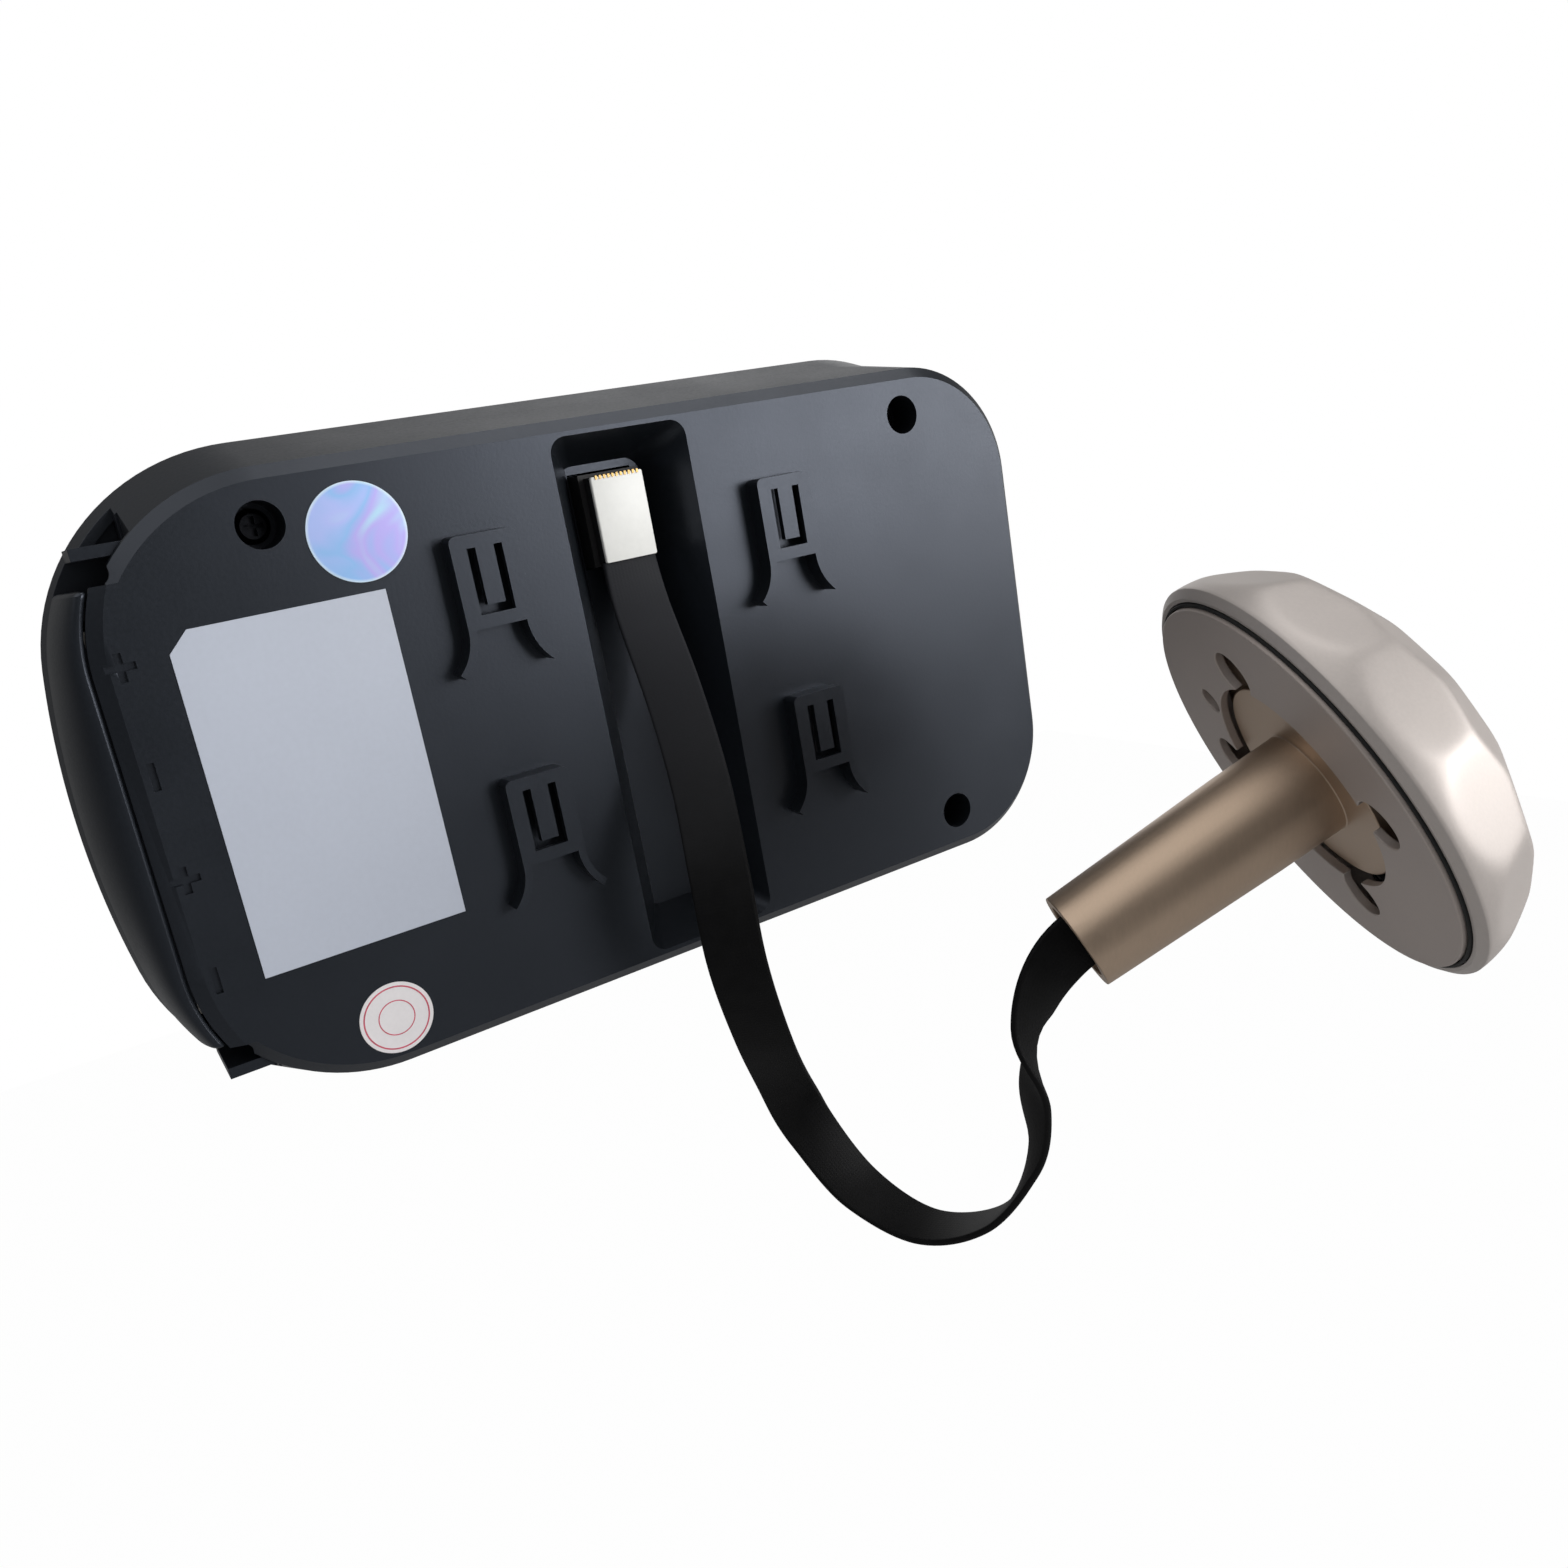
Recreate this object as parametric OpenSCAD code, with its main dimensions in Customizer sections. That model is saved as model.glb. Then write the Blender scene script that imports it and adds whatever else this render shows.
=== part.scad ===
// Peephole door camera: an indoor monitor seen from its back, a flat cable
// and an outdoor camera head. +Z is up, -Y points out of the monitor's back,
// and the origin is the centre of the cable channel on the back face.

/* [Monitor case] */
// Height of the case at its widest section
case_h = 84; // [83:0.2:90]
// Reach of the case to the right of the channel's centre
case_right = 68; // [67:0.5:76]
// Reach of the case to the left of the channel's centre
case_left = 74.1; // [72:0.1:82]
// Depth of the case from its back face to its front face
case_t = 20; // [19.5:0.1:24]
// Radius of the case's left corners at its widest section
corner_r = 27; // [23:0.5:29]
// Radius of the case's right corners at its widest section
right_r = 26; // [22:0.5:28]
// Radius of the bulged left end
bulge_r = 120; // [90:1:180]
// Wall of the two case halves
wall = 2; // [1.4:0.1:2.6]
// Depth of the parting line between the two case halves
part_y = 9; // [8.4:0.1:10]
// Inset of the case at the parting line
part_inset = 1.7; // [1.2:0.1:2]
// Depth at which the case is widest
widest_y = 15; // [14.5:0.1:16]
// Inset of the front face's edge
front_inset = 2.4; // [1.6:0.1:2.6]

/* [Back plate] */
// Inset of the back face's edge from the widest section
back_inset = 3.8; // [3.4:0.1:4.6]
// Reach of the back face to the right of the channel's centre
back_right = 66.8; // [64:0.2:67]
// Radius of the back face's right corners
back_r = 17.3; // [14:0.1:19]
// Bevel along the back face's edge
back_bevel = 1.6; // [0.8:0.1:1.8]
// Thickness of the back plate
plate_t = 2; // [1.6:0.1:2.4]
// Spacing of the case screws across
screw_dx = 94; // [90:0.5:98]
// Spacing of the case screws upward
screw_dz = 63; // [62:0.5:66]
// Radius of the deep screw wells
well_r = 2.8; // [2.4:0.1:3]
// Depth of the screw wells
well_d = 6; // [5:0.1:6.8]
// Radius of the screw shanks
screw_r = 1.1; // [0.8:0.1:1.2]
// Radius of the screw heads
screw_head_r = 2.1; // [1.6:0.1:2.2]
// Wall round the screw wells
boss_wall = 1.4; // [1:0.1:1.6]

/* [Cable channel] */
// Width of the channel's mouth
channel_w = 20; // [18:0.2:22]
// Height of the channel's mouth
channel_h = 72; // [66:0.5:73]
// Depth of the channel
channel_d = 8.6; // [7.5:0.1:9.2]
// Slope of the channel's walls, from the mouth to the floor
channel_draft = 3.8; // [3:0.1:4]
// Corner radius of the channel
channel_r = 2.3; // [1.5:0.1:3]
// Wall of the channel
channel_wall = 1.6; // [1.2:0.1:2]

/* [Hanging hooks] */
// Spacing of the hooks across
hook_dx = 44.8; // [40:0.2:50]
// Spacing of the hooks upward
hook_dz = 31.4; // [30:0.2:34]
// Height of the upper hooks' top edge
hook_top = 26.2; // [24:0.2:28]
// Width of a hook's pocket
hook_w = 8.8; // [8:0.1:10]
// Height of a hook's pocket
hook_h = 11.7; // [11:0.1:13]
// Stand-off of a hook from the back face
hook_out = 3; // [2.6:0.1:3.6]
// Wall of a hook
hook_wall = 1; // [0.8:0.1:1.2]
// Length of the flared legs below a hook
leg_len = 5.4; // [4:0.1:6.4]
// Flare of each leg
leg_out = 2.4; // [1.5:0.1:2.8]
// Width of the spring tongue's slot
slot_w = 1.1; // [0.8:0.1:1.2]
// Width across the slot round the tongue
slot_span = 4.6; // [4.2:0.1:5]
// Height of the slot round the tongue
slot_h = 8.3; // [7:0.1:8.6]

/* [Battery bay] */
// Radius of a cell
cell_r = 5.25; // [5:0.05:5.3]
// Length of a cell
cell_len = 44.5; // [43.5:0.1:45]
// Spacing of the cells
cell_pitch = 12.6; // [12:0.1:12.8]
// Clearance round a cell
cell_gap = 0.3; // [0.2:0.05:0.4]
// Height of the battery door
door_h = 56; // [55:0.2:58]
// Thickness of the battery door at its middle
door_t = 5.4; // [5.2:0.1:6.8]
// Gap between the door and the back plate's edge
door_gap = 0.4; // [0.3:0.1:1]
// Crown of the door, from its crest beside the back plate to its widest line
door_crown = 4.6; // [3.8:0.1:5]
// Clearance round the door
door_clear = 0.3; // [0.2:0.05:0.4]
// Width of the notch at each end of the door
notch_w = 4.7; // [3.6:0.1:5]
// Height of the open gap at each end of the door
end_gap = 3; // [2:0.1:3.4]
// Length of the door's guide rails
rail_len = 14; // [10:0.5:16]
// Thickness of a contact plate
contact_t = 0.6; // [0.4:0.1:0.8]

/* [Screen] */
// Place of the screen's centre across
screen_x = 3; // [2:0.5:4]
// Width of the display panel
lcd_w = 93; // [90:0.5:94]
// Height of the display panel
lcd_h = 57; // [54:0.5:57.5]
// Thickness of the display panel
lcd_t = 3; // [2.6:0.1:3.2]
// Width of the front window
window_w = 98; // [96:0.5:100]
// Height of the front window
window_h = 64; // [60:0.5:68]
// Corner radius of the front window
window_r = 5; // [3:0.5:8]
// Thickness of the front window
window_t = 1.2; // [1:0.1:1.3]
// Thickness of the front face
front_t = 2; // [1.8:0.1:2.2]

/* [Front key] */
// Place of the key's and the speaker's centre across
key_x = -60; // [-62:0.5:-58]
// Radius of the key
key_r = 6; // [5:0.1:6.5]
// Stand-off of the key from the front face
key_out = 0.8; // [0.4:0.1:1.2]
// Travel of the key
key_travel = 0.6; // [0.4:0.1:0.7]
// Drop of the speaker below the key
speaker_drop = 19; // [18:0.5:20]
// Radius of the speaker
speaker_r = 7.5; // [6:0.1:8]

/* [Cable] */
// Width of the flat cable
ribbon_w = 8; // [7:0.1:8.4]
// Thickness of the flat cable
ribbon_t = 1; // [0.6:0.1:1.2]
// Width of the plug
plug_w = 7.8; // [7:0.1:8.6]
// Height of the plug
plug_h = 11.5; // [10:0.1:13]
// Height of the plug's lower edge
plug_z = 18.8; // [18:0.1:19.4]
// Depth of the plug's face below the back face
plug_y = 3; // [2.6:0.1:3.2]
// Thickness of the plug
plug_t = 2.8; // [2.4:0.1:3.2]

/* [Camera head] */
// Place of the head's back face
head_pos = [52, -61.5, -20.5];
// Lean of the head's axis away from straight up
head_tilt = 65; // [60:1:70]
// Turn of the head's axis about the vertical
head_turn = -25.5; // [-30:0.5:-20]
// Widest radius of the dome
dome_r = 28.5; // [28.3:0.1:29.6]
// Height of the dome above the door
dome_h = 16.6; // [16.5:0.1:18]
// Radius of the dome's rounded shoulder
shoulder_r = 15.6; // [14:0.1:15.7]
// Wall of the dome
dome_wall = 2.2; // [1.8:0.1:2.4]
// Count of facets round the dome
facets = 12; // [10:1:16]
// Depth of the facets
facet_cut = 0.9; // [0.5:0.05:1.2]
// Radius of the door plate
door_plate_r = 26.4; // [25.5:0.1:26.6]
// Thickness of the door plate
door_plate_t = 1.2; // [1:0.1:1.6]
// Width of the black sealing ring
seal_w = 0.6; // [0.4:0.05:0.8]
// Radius of the door plate's opening
opening_r = 14.7; // [14.2:0.1:15.2]
// Radius of the circle of head screws
head_screw_ring = 17.2; // [17:0.1:17.8]
// Radius of the opening's screw lobes
lobe_r = 3.2; // [2.8:0.1:3.4]
// Radius of the opening's small lobe
small_lobe_r = 1.8; // [1.4:0.1:2.2]
// Length of the barrel from the door plate to its mouth
barrel_len = 33; // [28:0.5:36]
// Radius of the barrel at the door plate
barrel_r = 6.9; // [6.6:0.05:7]
// Radius of the barrel at its mouth
mouth_r = 6.4; // [6.1:0.05:6.6]
// Length of the barrel's straight stretch at the door plate
collar_len = 8; // [6:0.5:12]
// Radius of the barrel's bore
bore_r = 5.1; // [4.8:0.05:5.3]
// Radius of the barrel's flange
flange_r = 13.9; // [13.4:0.1:14.1]
// Depth of the flange below the door plate's face
flange_z = 1.3; // [1:0.1:1.6]
// Radius of the lens window
lens_window_r = 8.5; // [7.5:0.1:9]
// Radius of the bell button
bell_r = 3.8; // [3.2:0.1:4]
// Stand-off of the bell button from the dome
bell_out = 0.8; // [0.4:0.1:1.2]
// Travel of the bell button
bell_travel = 0.6; // [0.4:0.1:0.7]

/* [Hidden] */
$fn = 96;
// Fit of fixed pieces beside each other
fit = 0.3;
// Overlap that joins shapes of one solid
weld = 0.2;
// Reach of a cutting shape past what it cuts
past = 1;
// Large reach for trimming shapes
far = 200;
// Steps of each arc in the case outline
arc_n = 24;

// Case outline: corner centres and the centre of the bulge
corner_z = case_h / 2 - corner_r;
right_centre = [case_right - right_r, case_h / 2 - right_r];
back_centre = [back_right - back_r, case_h / 2 - back_inset - back_r];
bulge_x = bulge_r - case_left;
corner_left = bulge_x - sqrt(pow(bulge_r - corner_r, 2) - pow(corner_z, 2));
front_in_y = case_t - front_t;

// Left end: plate edge, notches and door
plate_left = -case_left + door_t + door_gap;
notch_x = plate_left + notch_w;
wall_end_x = notch_x + 3.2;
tab_half = door_h / 2;
door_x = plate_left - door_gap;
door_back_y = 0.9;
rib_t = 1.4;
rib_x = wall_end_x + 6;
horn_x = plate_left + 1.4;
gap_half = tab_half + end_gap;
tab_bevel = 1.7;
tab_drop = 0.9;
tab_bend = 10;
tab_bend_r = 22;
tab_steps = 20;
door_end_x = door_x + pow(tab_bend, 2) / (2 * tab_bend_r);
notch_r = 1.4;
crest_w = 0.7;
crown_steps = 5;

// Battery bay: cells lie along X, side by side
cell_n = 4;
cell_nub = 0.8;
cell_nub_r = 1.9;
cell_y = plate_t + cell_gap + cell_r;
cell_x0 = plate_left + contact_t + 2 * cell_gap;
cell_x1 = cell_x0 + cell_len;
deck_y = cell_y + cell_r + cell_gap;
deck_t = 1.2;
rim_y = deck_y - 1.6;
rim_w = wall + 0.2;
bay_wall_t = 1.4;
bay_wall_x = cell_x1 + cell_gap + contact_t;
bay_half = (cell_n - 1) / 2 * cell_pitch + cell_r + cell_gap;
contact_h = 9;
rail_t = 1.4;

// Channel, socket and boards
channel_back = channel_d + channel_wall;
board_y = channel_back + 0.6;
board_t = 1.4;
board_x0 = bay_wall_x + bay_wall_t + 2;
board_x1 = case_right - 9.5;
board_half = 24;
chip_t = 1;
// Chips: place across and upward and width, as shares of the board
chips = [[0.55, 0.25, 0.58], [0.76, -0.33, 0.42], [0.36, -0.5, 0.33]];
socket_w = plug_w + 1.2;
socket_h = plug_h + 1;
plug_mid_z = plug_z + plug_h / 2;
post_x = [channel_w / 2 + 8, board_x1 - 5];
post_z = board_half - 4;
post_r = 2;

// Screws
screw_head_t = 1.4;
screw_tip_y = case_t - front_t - 3;
front_boss_r = screw_r + fit + 0.9;

// Front pieces
lcd_y = front_in_y - lcd_t;
window_y = case_t - window_t - 0.1;
window_ledge = 5;
key_board_t = 1;
key_board_w = 14;
key_board_h = 16;
key_flange = 1;
key_flange_t = 0.8;
key_y = front_in_y - fit - key_flange_t;
key_switch_w = 6;
slot_n = 5;
grille_w = 10;
grille_t = 1.2;
grille_pitch = 2.4;

// Head: distances along its axis, measured from the door plate's face
head_axis = [sin(head_tilt) * cos(head_turn), sin(head_tilt) * sin(head_turn), cos(head_tilt)];
shoulder_z = dome_h - shoulder_r;
flat_r = dome_r - shoulder_r;
ledge_z = door_plate_t;
seal_r = door_plate_r + 0.1;
lip_r = seal_r + seal_w + 0.1;
lip_z = 0.8;
ear_z = 4.2;
ear_t = 1.2;
ear_r = head_screw_ring + 3;
head_screw_r = 0.9;
head_screw_head_r = 1.8;
head_screw_head_t = 1.3;
head_boss_r = 2.4;
head_board_z = ear_z + ear_t;
head_board_t = 1.2;
head_board_r = head_screw_ring - head_boss_r - 1;
head_board_top = head_board_z + head_board_t;
dome_in_z = dome_h - dome_wall;
lens_at = 4;
lens_window_t = 1.3;
lens_ledge = 1;
lens_plate_z = dome_in_z - 4.6;
lens_plate_r = 8;
lens_tube_r = 4;
led_ring = 6.1;
led_r = 1.25;
bell_at = -9;
bell_flange = 0.9;
bell_flange_t = 0.6;
bell_z = dome_in_z - fit - bell_flange_t;
bell_switch_w = 6;
bell_switch_h = 4;

// Cable: points of its middle line with the direction of its width
cable_route = [
    [[0, plug_y + 1.4, plug_z], [-1, 0, 0]],
    [[0, 3.2, 12], [-1, 0.2, 0]],
    [[-0.5, -2.5, 0], [-0.9, 0.4, -0.15]],
    [[-3, -10.5, -11], [-0.85, 0.5, -0.1]],
    [[-6, -17, -22], [-0.85, 0.5, 0]],
    [[-6.7, -18.7, -33.7], [-0.8, 0.6, 0]],
    [[-3.5, -15.5, -46.7], [-0.75, 0.65, 0]],
    [[1.8, -9.3, -58.6], [-0.8, 0.6, -0.1]],
    [[7, -5.4, -70.1], [-0.95, 0, -0.3]],
    [[11.3, -9.5, -80.5], [-1, -0.15, -0.15]],
    [[15.3, -20.2, -84.2], [-0.9, -0.4, 0]],
    [[19.8, -31.5, -79.4], [-0.9, -0.4, 0.1]],
    [[21.5, -38.6, -68], [-0.6, -0.75, 0.15]],
    [[20.3, -42.6, -55.9], [-0.3, -0.95, -0.15]],
    [[19.9, -44.4, -44.6], [-0.85, -0.25, 0.5]],
    [head_at(-barrel_len - 2) + [0.6, 0.5, -0.7], [-0.55, 0.2, 0.8]],
    [head_at(-barrel_len + 10), [-0.35, 0.25, 0.9]],
    [head_at(-barrel_len / 3), [-0.35, 0.25, 0.9]],
    [head_at(head_board_z - 0.05), [-0.35, 0.25, 0.9]]
];
cable_steps = 4;

// Point on the head's axis
function head_at(z) = head_pos + z * head_axis;

// Point and tangent of the curve through the cable's points
function route_at(list, k, i) = list[max(0, min(len(list) - 1, i))][k];
function blend(a, b, c, d, t) =
    0.5 * (2 * b + (c - a) * t + (2 * a - 5 * b + 4 * c - d) * t * t + (3 * b - a - 3 * c + d) * t * t * t);
function on_route(list, k, i, t) =
    let (p = [for (j = [-1:2]) route_at(list, k, i + j)]) blend(p[0], p[1], p[2], p[3], t);
function unit(v) = v / norm(v);

// Depth-wise extrusion of a profile drawn in X and Z
module slab(y0, y1) {
    translate([0, y1, 0]) rotate([90, 0, 0]) linear_extrude(y1 - y0) children();
}

// Box between two corners
module block(low, high) {
    translate(low) cube(high - low);
}

// Round post that runs in depth
module post(x, z, y0, y1, r) {
    translate([x, y0, z]) rotate([-90, 0, 0]) cylinder(h = y1 - y0, r = r);
}

// Rectangle with rounded corners about the origin
module round_rect(w, h, r) {
    square([w - 2 * r, h], center = true);
    square([w, h - 2 * r], center = true);
    for (x = [-1, 1], y = [-1, 1]) translate([x * (w / 2 - r), y * (h / 2 - r)]) circle(r);
}

// Copies at the four corners of a rectangle
module at_corners(dx, dz) {
    for (x = [-dx / 2, dx / 2], z = [-dz / 2, dz / 2]) translate([x, 0, z]) children();
}

// Points of an arc, from one angle to another
function arc(centre, r, a0, a1, n) =
    [for (i = [0:n]) let (a = a0 + (a1 - a0) * i / n) centre + r * [cos(a), sin(a)]];

// Outline with a bulged left end and a right corner of its own centre and radius
function outline_points(inset, centre, centre_r) =
    let (r = corner_r - inset, lean = asin(corner_z / (bulge_r - corner_r)))
    concat(
        arc(centre, centre_r, 0, 90, arc_n),
        arc([corner_left, corner_z], r, 90, 180 - lean, arc_n),
        [for (i = [1:arc_n - 1]) let (a = 180 - lean + 2 * lean * i / arc_n)
            [bulge_x, 0] + (bulge_r - inset) * [cos(a), sin(a)]],
        arc([corner_left, -corner_z], r, 180 + lean, 270, arc_n),
        arc([centre[0], -centre[1]], centre_r, 270, 360, arc_n));

// Outline of the case with all edges drawn in by an inset
module case_outline(inset) {
    polygon(outline_points(inset, right_centre, right_r - inset));
}

// Outline of the back face with all edges drawn in by an inset
module back_outline(inset) {
    polygon(outline_points(back_inset + inset, back_centre, back_r - inset));
}

// Case body through sections given as depth and inset
module case_loft(sections) {
    thin = 0.02;
    last = len(sections) - 1;
    hull() for (i = [0:last]) {
        y = sections[i][0];
        slab(i == last ? y - thin : y, i == last ? y : y + thin) case_outline(sections[i][1]);
    }
}

// Rear half of the case, from the bevelled back face out to the parting line
module cover_loft(inset, end_y) {
    thin = 0.02;
    hull() {
        slab(0, thin) back_outline(inset + back_bevel);
        slab(back_bevel, back_bevel + thin) back_outline(inset);
        slab(end_y - thin, end_y) case_outline(part_inset + inset);
    }
}

// Tab of the plate, its edge drawn in by an inset; its ends bend away from the door
module tab_area(inset) {
    polygon(concat([for (i = [-tab_steps:tab_steps]) let (z = tab_half * i / tab_steps)
                       [plate_left + inset + pow(max(0, abs(z) - tab_half + tab_bend), 2) / (2 * tab_bend_r), z]],
                   [[notch_x + past, tab_half], [notch_x + past, -tab_half]]));
}

// Section of the rear cover's left end, with a rounded notch above and below the tab
module cover_trim(x) {
    offset(r = -notch_r) offset(delta = notch_r) {
        tab_area(tab_bevel);
        translate([x, -far]) square([far, 2 * far]);
    }
}

// Two mirrored copies, above and below the middle
module both_ends() {
    for (side = [0, 1]) mirror([0, 0, side]) children();
}

// Channel section at a given depth, grown by a wall
module channel_section(y, grow) {
    in = channel_draft * y / channel_d;
    translate([0, y, 0]) rotate([90, 0, 0]) linear_extrude(0.02)
        round_rect(channel_w - 2 * in + 2 * grow, channel_h - 2 * in + 2 * grow, channel_r, $fn = 32);
}

// Hanging hook: a pocket open below, with flared legs and a spring tongue
module hook() {
    wide = hook_w / 2;
    bend = 2 * atan(leg_out / leg_len);
    bend_r = leg_len / sin(bend);
    difference() {
        union() {
            slab(-hook_out, weld) hook_face();
            for (side = [0, 1]) mirror([side, 0, 0]) slab(-hook_out, weld) intersection() {
                translate([wide - hook_wall / 2 + bend_r, -hook_h]) difference() {
                    circle(bend_r + hook_wall / 2);
                    circle(bend_r - hook_wall / 2);
                }
                translate([wide - hook_wall / 2 + bend_r, -hook_h])
                    polygon([[0, 0], [-2 * bend_r, 0], [-2 * bend_r * cos(bend), -2 * bend_r * sin(bend)]]);
            }
        }
        block([-wide + hook_wall, -hook_out + hook_wall, -hook_h - past],
              [wide - hook_wall, past, -hook_wall]);
        slab(-hook_out - past, past) hook_slot();
    }
}

// Face of a hook with two rounded top corners
module hook_face() {
    r = 0.9;
    translate([-hook_w / 2, -hook_h]) square([hook_w, hook_h - r]);
    translate([-hook_w / 2 + r, -hook_h]) square([hook_w - 2 * r, hook_h]);
    for (x = [-1, 1]) translate([x * (hook_w / 2 - r), -r]) circle(r);
}

// U-shaped slot round the spring tongue
module hook_slot() {
    translate([-slot_span / 2, -(hook_h + slot_h) / 2]) difference() {
        square([slot_span, slot_h]);
        translate([slot_w, slot_w]) square([slot_span - 2 * slot_w, slot_h]);
    }
}

// Place of the head: its axis becomes +Z and its door face lies at zero
module in_head() {
    translate(head_pos) rotate([0, head_tilt, head_turn]) children();
}

// Copies round the head's axis
module head_ring(n, r) {
    for (i = [0:n - 1]) rotate(360 / n * i) translate([r, 0, 0]) children();
}

// Half-section of the dome's outer form, drawn in by an inset
module dome_section(inset) {
    r = shoulder_r - inset;
    square([flat_r, shoulder_z + r]);
    square([flat_r + r, shoulder_z]);
    intersection() {
        translate([flat_r, shoulder_z]) circle(r);
        translate([0, shoulder_z]) square([far, far]);
    }
}

// One flat cut on the dome's shoulder, at an angle above its widest circle
module facet(lift) {
    translate([flat_r, 0, shoulder_z]) rotate([0, -lift, 0])
        translate([shoulder_r - facet_cut, -far / 2, -far / 2]) cube([far, far, far]);
}

module front_housing() {
    color("#24272c") difference() {
        union() {
            difference() {
                case_loft([[part_y, part_inset], [widest_y, 0], [case_t, front_inset]]);
                slab(part_y - past, front_in_y) case_outline(part_inset + wall);
                block([-far, 0, -gap_half], [notch_x, deck_y, gap_half]);
                block([-far, 0, -far], [wall_end_x - fit, rim_y, far]);
                slab(0, deck_y) intersection() {
                    case_outline(rim_w);
                    translate([-far, -far]) square([far + wall_end_x - fit, 2 * far]);
                }
            }
            slab(deck_y, deck_y + deck_t) intersection() {
                case_outline(part_inset + wall / 2);
                union() {
                    translate([-far, -gap_half - rib_t])
                        square([far + bay_wall_x + bay_wall_t, 2 * (gap_half + rib_t)]);
                    translate([-far, -far]) square([far + wall_end_x - fit + rib_t, 2 * far]);
                }
            }
            both_ends() slab(part_y, deck_y + weld) intersection() {
                case_outline(part_inset + wall / 2);
                union() {
                    translate([-far, gap_half]) square([far + rib_x, rib_t]);
                    translate([wall_end_x - fit, gap_half]) square([rib_t, far]);
                }
            }
            both_ends()
                block([horn_x, plate_t + fit, gap_half], [wall_end_x - fit, deck_y + weld, gap_half + rib_t]);
            at_corners(screw_dx, screw_dz) post(0, 0, part_y, front_in_y + weld, front_boss_r);
        }
        at_corners(screw_dx, screw_dz) post(0, 0, part_y - past, screw_tip_y + fit, screw_r + fit);
        translate([screen_x, 0, 0]) {
            slab(window_y, case_t + past) round_rect(window_w, window_h, window_r);
            slab(front_in_y - past, case_t)
                square([lcd_w - window_ledge, lcd_h - window_ledge], center = true);
        }
        post(key_x, 0, front_in_y - past, case_t + past, key_r + fit);
        for (i = [0:slot_n - 1])
            translate([key_x, front_in_y + front_t / 2, -speaker_drop + (i - (slot_n - 1) / 2) * grille_pitch])
                cube([grille_w, front_t + 2 * past, grille_t], center = true);
    }
}

module rear_cover() {
    well_out = well_r + boss_wall;
    color("#2b2f36") {
        difference() {
            union() {
                difference() {
                    intersection() {
                        cover_loft(0, part_y);
                        union() {
                            slab(-past, plate_t) cover_trim(notch_x);
                            slab(plate_t - weld, part_y + past) cover_trim(wall_end_x);
                        }
                    }
                    intersection() {
                        cover_loft(wall, part_y + 0.01);
                        block([-far, plate_t, -far], [far, far, far]);
                    }
                    block([-far, plate_t, -tab_half - past],
                          [corner_left - 4, part_y + past, tab_half + past]);
                }
                hull() {
                    slab(0, weld) tab_area(tab_bevel);
                    slab(tab_drop, plate_t) tab_area(0);
                }
                both_ends() intersection() {
                    cover_loft(wall / 2, part_y);
                    block([wall_end_x, plate_t - weld, tab_half + past], [wall_end_x + rib_t, part_y, far]);
                }
                hull() {
                    channel_section(plate_t / 2, channel_wall);
                    channel_section(channel_back, channel_wall);
                }
                at_corners(screw_dx, screw_dz) post(0, 0, plate_t - weld, part_y, well_out);
                for (x = post_x, z = [-post_z, post_z]) post(x, z, plate_t - weld, board_y, post_r);
                block([bay_wall_x, plate_t - weld, -bay_half],
                      [bay_wall_x + bay_wall_t, deck_y - fit, bay_half]);
                for (i = [1:cell_n - 1]) translate([0, 0, (i - cell_n / 2) * cell_pitch])
                    block([cell_x0 + 4, plate_t - weld, -0.4], [bay_wall_x + weld, cell_y, 0.4]);
            }
            hull() {
                channel_section(-0.5, 0);
                channel_section(channel_d, 0);
            }
            translate([0, 0, plug_mid_z]) block([-socket_w / 2 - fit, 0, -socket_h / 2 - fit],
                                                [socket_w / 2 + fit, board_y, socket_h / 2 + fit]);
            at_corners(screw_dx, screw_dz) {
                post(0, 0, -past, well_d, well_r);
                post(0, 0, 0, part_y + past, screw_r + fit);
            }
        }
        for (x = [-hook_dx / 2, hook_dx / 2], z = [hook_top, hook_top - hook_dz]) translate([x, 0, z]) hook();
    }
}

module battery_door() {
    end_y = deck_y - door_clear;
    half = tab_half - door_clear;
    depth = end_y - door_back_y;
    rail_z = bay_half + 0.8;
    color("#26292e") {
        difference() {
            hull() {
                slab(door_back_y, door_back_y + weld) intersection() {
                    tab_area(-door_gap - crest_w);
                    translate([-far, -half]) square([far + door_end_x, 2 * half]);
                }
                intersection() {
                    case_loft([for (i = [0:crown_steps]) let (a = 90 * i / crown_steps)
                        [door_back_y + depth * (1 - cos(a)), door_clear + weld + door_crown * (1 - sin(a))]]);
                    block([-far, 0, -half], [door_end_x, far, half]);
                }
            }
            slab(-past, far) tab_area(-door_gap);
            contact_plates();
        }
        block([door_x - weld, plate_t + fit, -bay_half], [cell_x0 - cell_gap - contact_t, end_y, bay_half]);
        both_ends()
            block([door_x - weld, plate_t + fit, rail_z - rail_t / 2],
                  [door_x + rail_len, end_y, rail_z + rail_t / 2]);
    }
}

module screen_window() {
    color([0.05, 0.05, 0.06, 0.6]) translate([screen_x, 0, 0])
        slab(window_y, case_t - 0.1) round_rect(window_w - fit, window_h - fit, window_r - fit / 2);
}

module lcd_panel() {
    color("#15171a") translate([screen_x, 0, 0])
        slab(lcd_y, front_in_y) square([lcd_w, lcd_h], center = true);
}

module main_board() {
    color("#1f5136") block([board_x0, board_y, -board_half], [board_x1, board_y + board_t, board_half]);
}

module board_chips() {
    span = board_x1 - board_x0;
    color("#1b1b1d") for (c = chips) let (half = c[2] * board_half / 2)
        translate([board_x0 + c[0] * span, board_y + board_t, c[1] * board_half])
            block([-half, 0, -half], [half, chip_t, half]);
}

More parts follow.
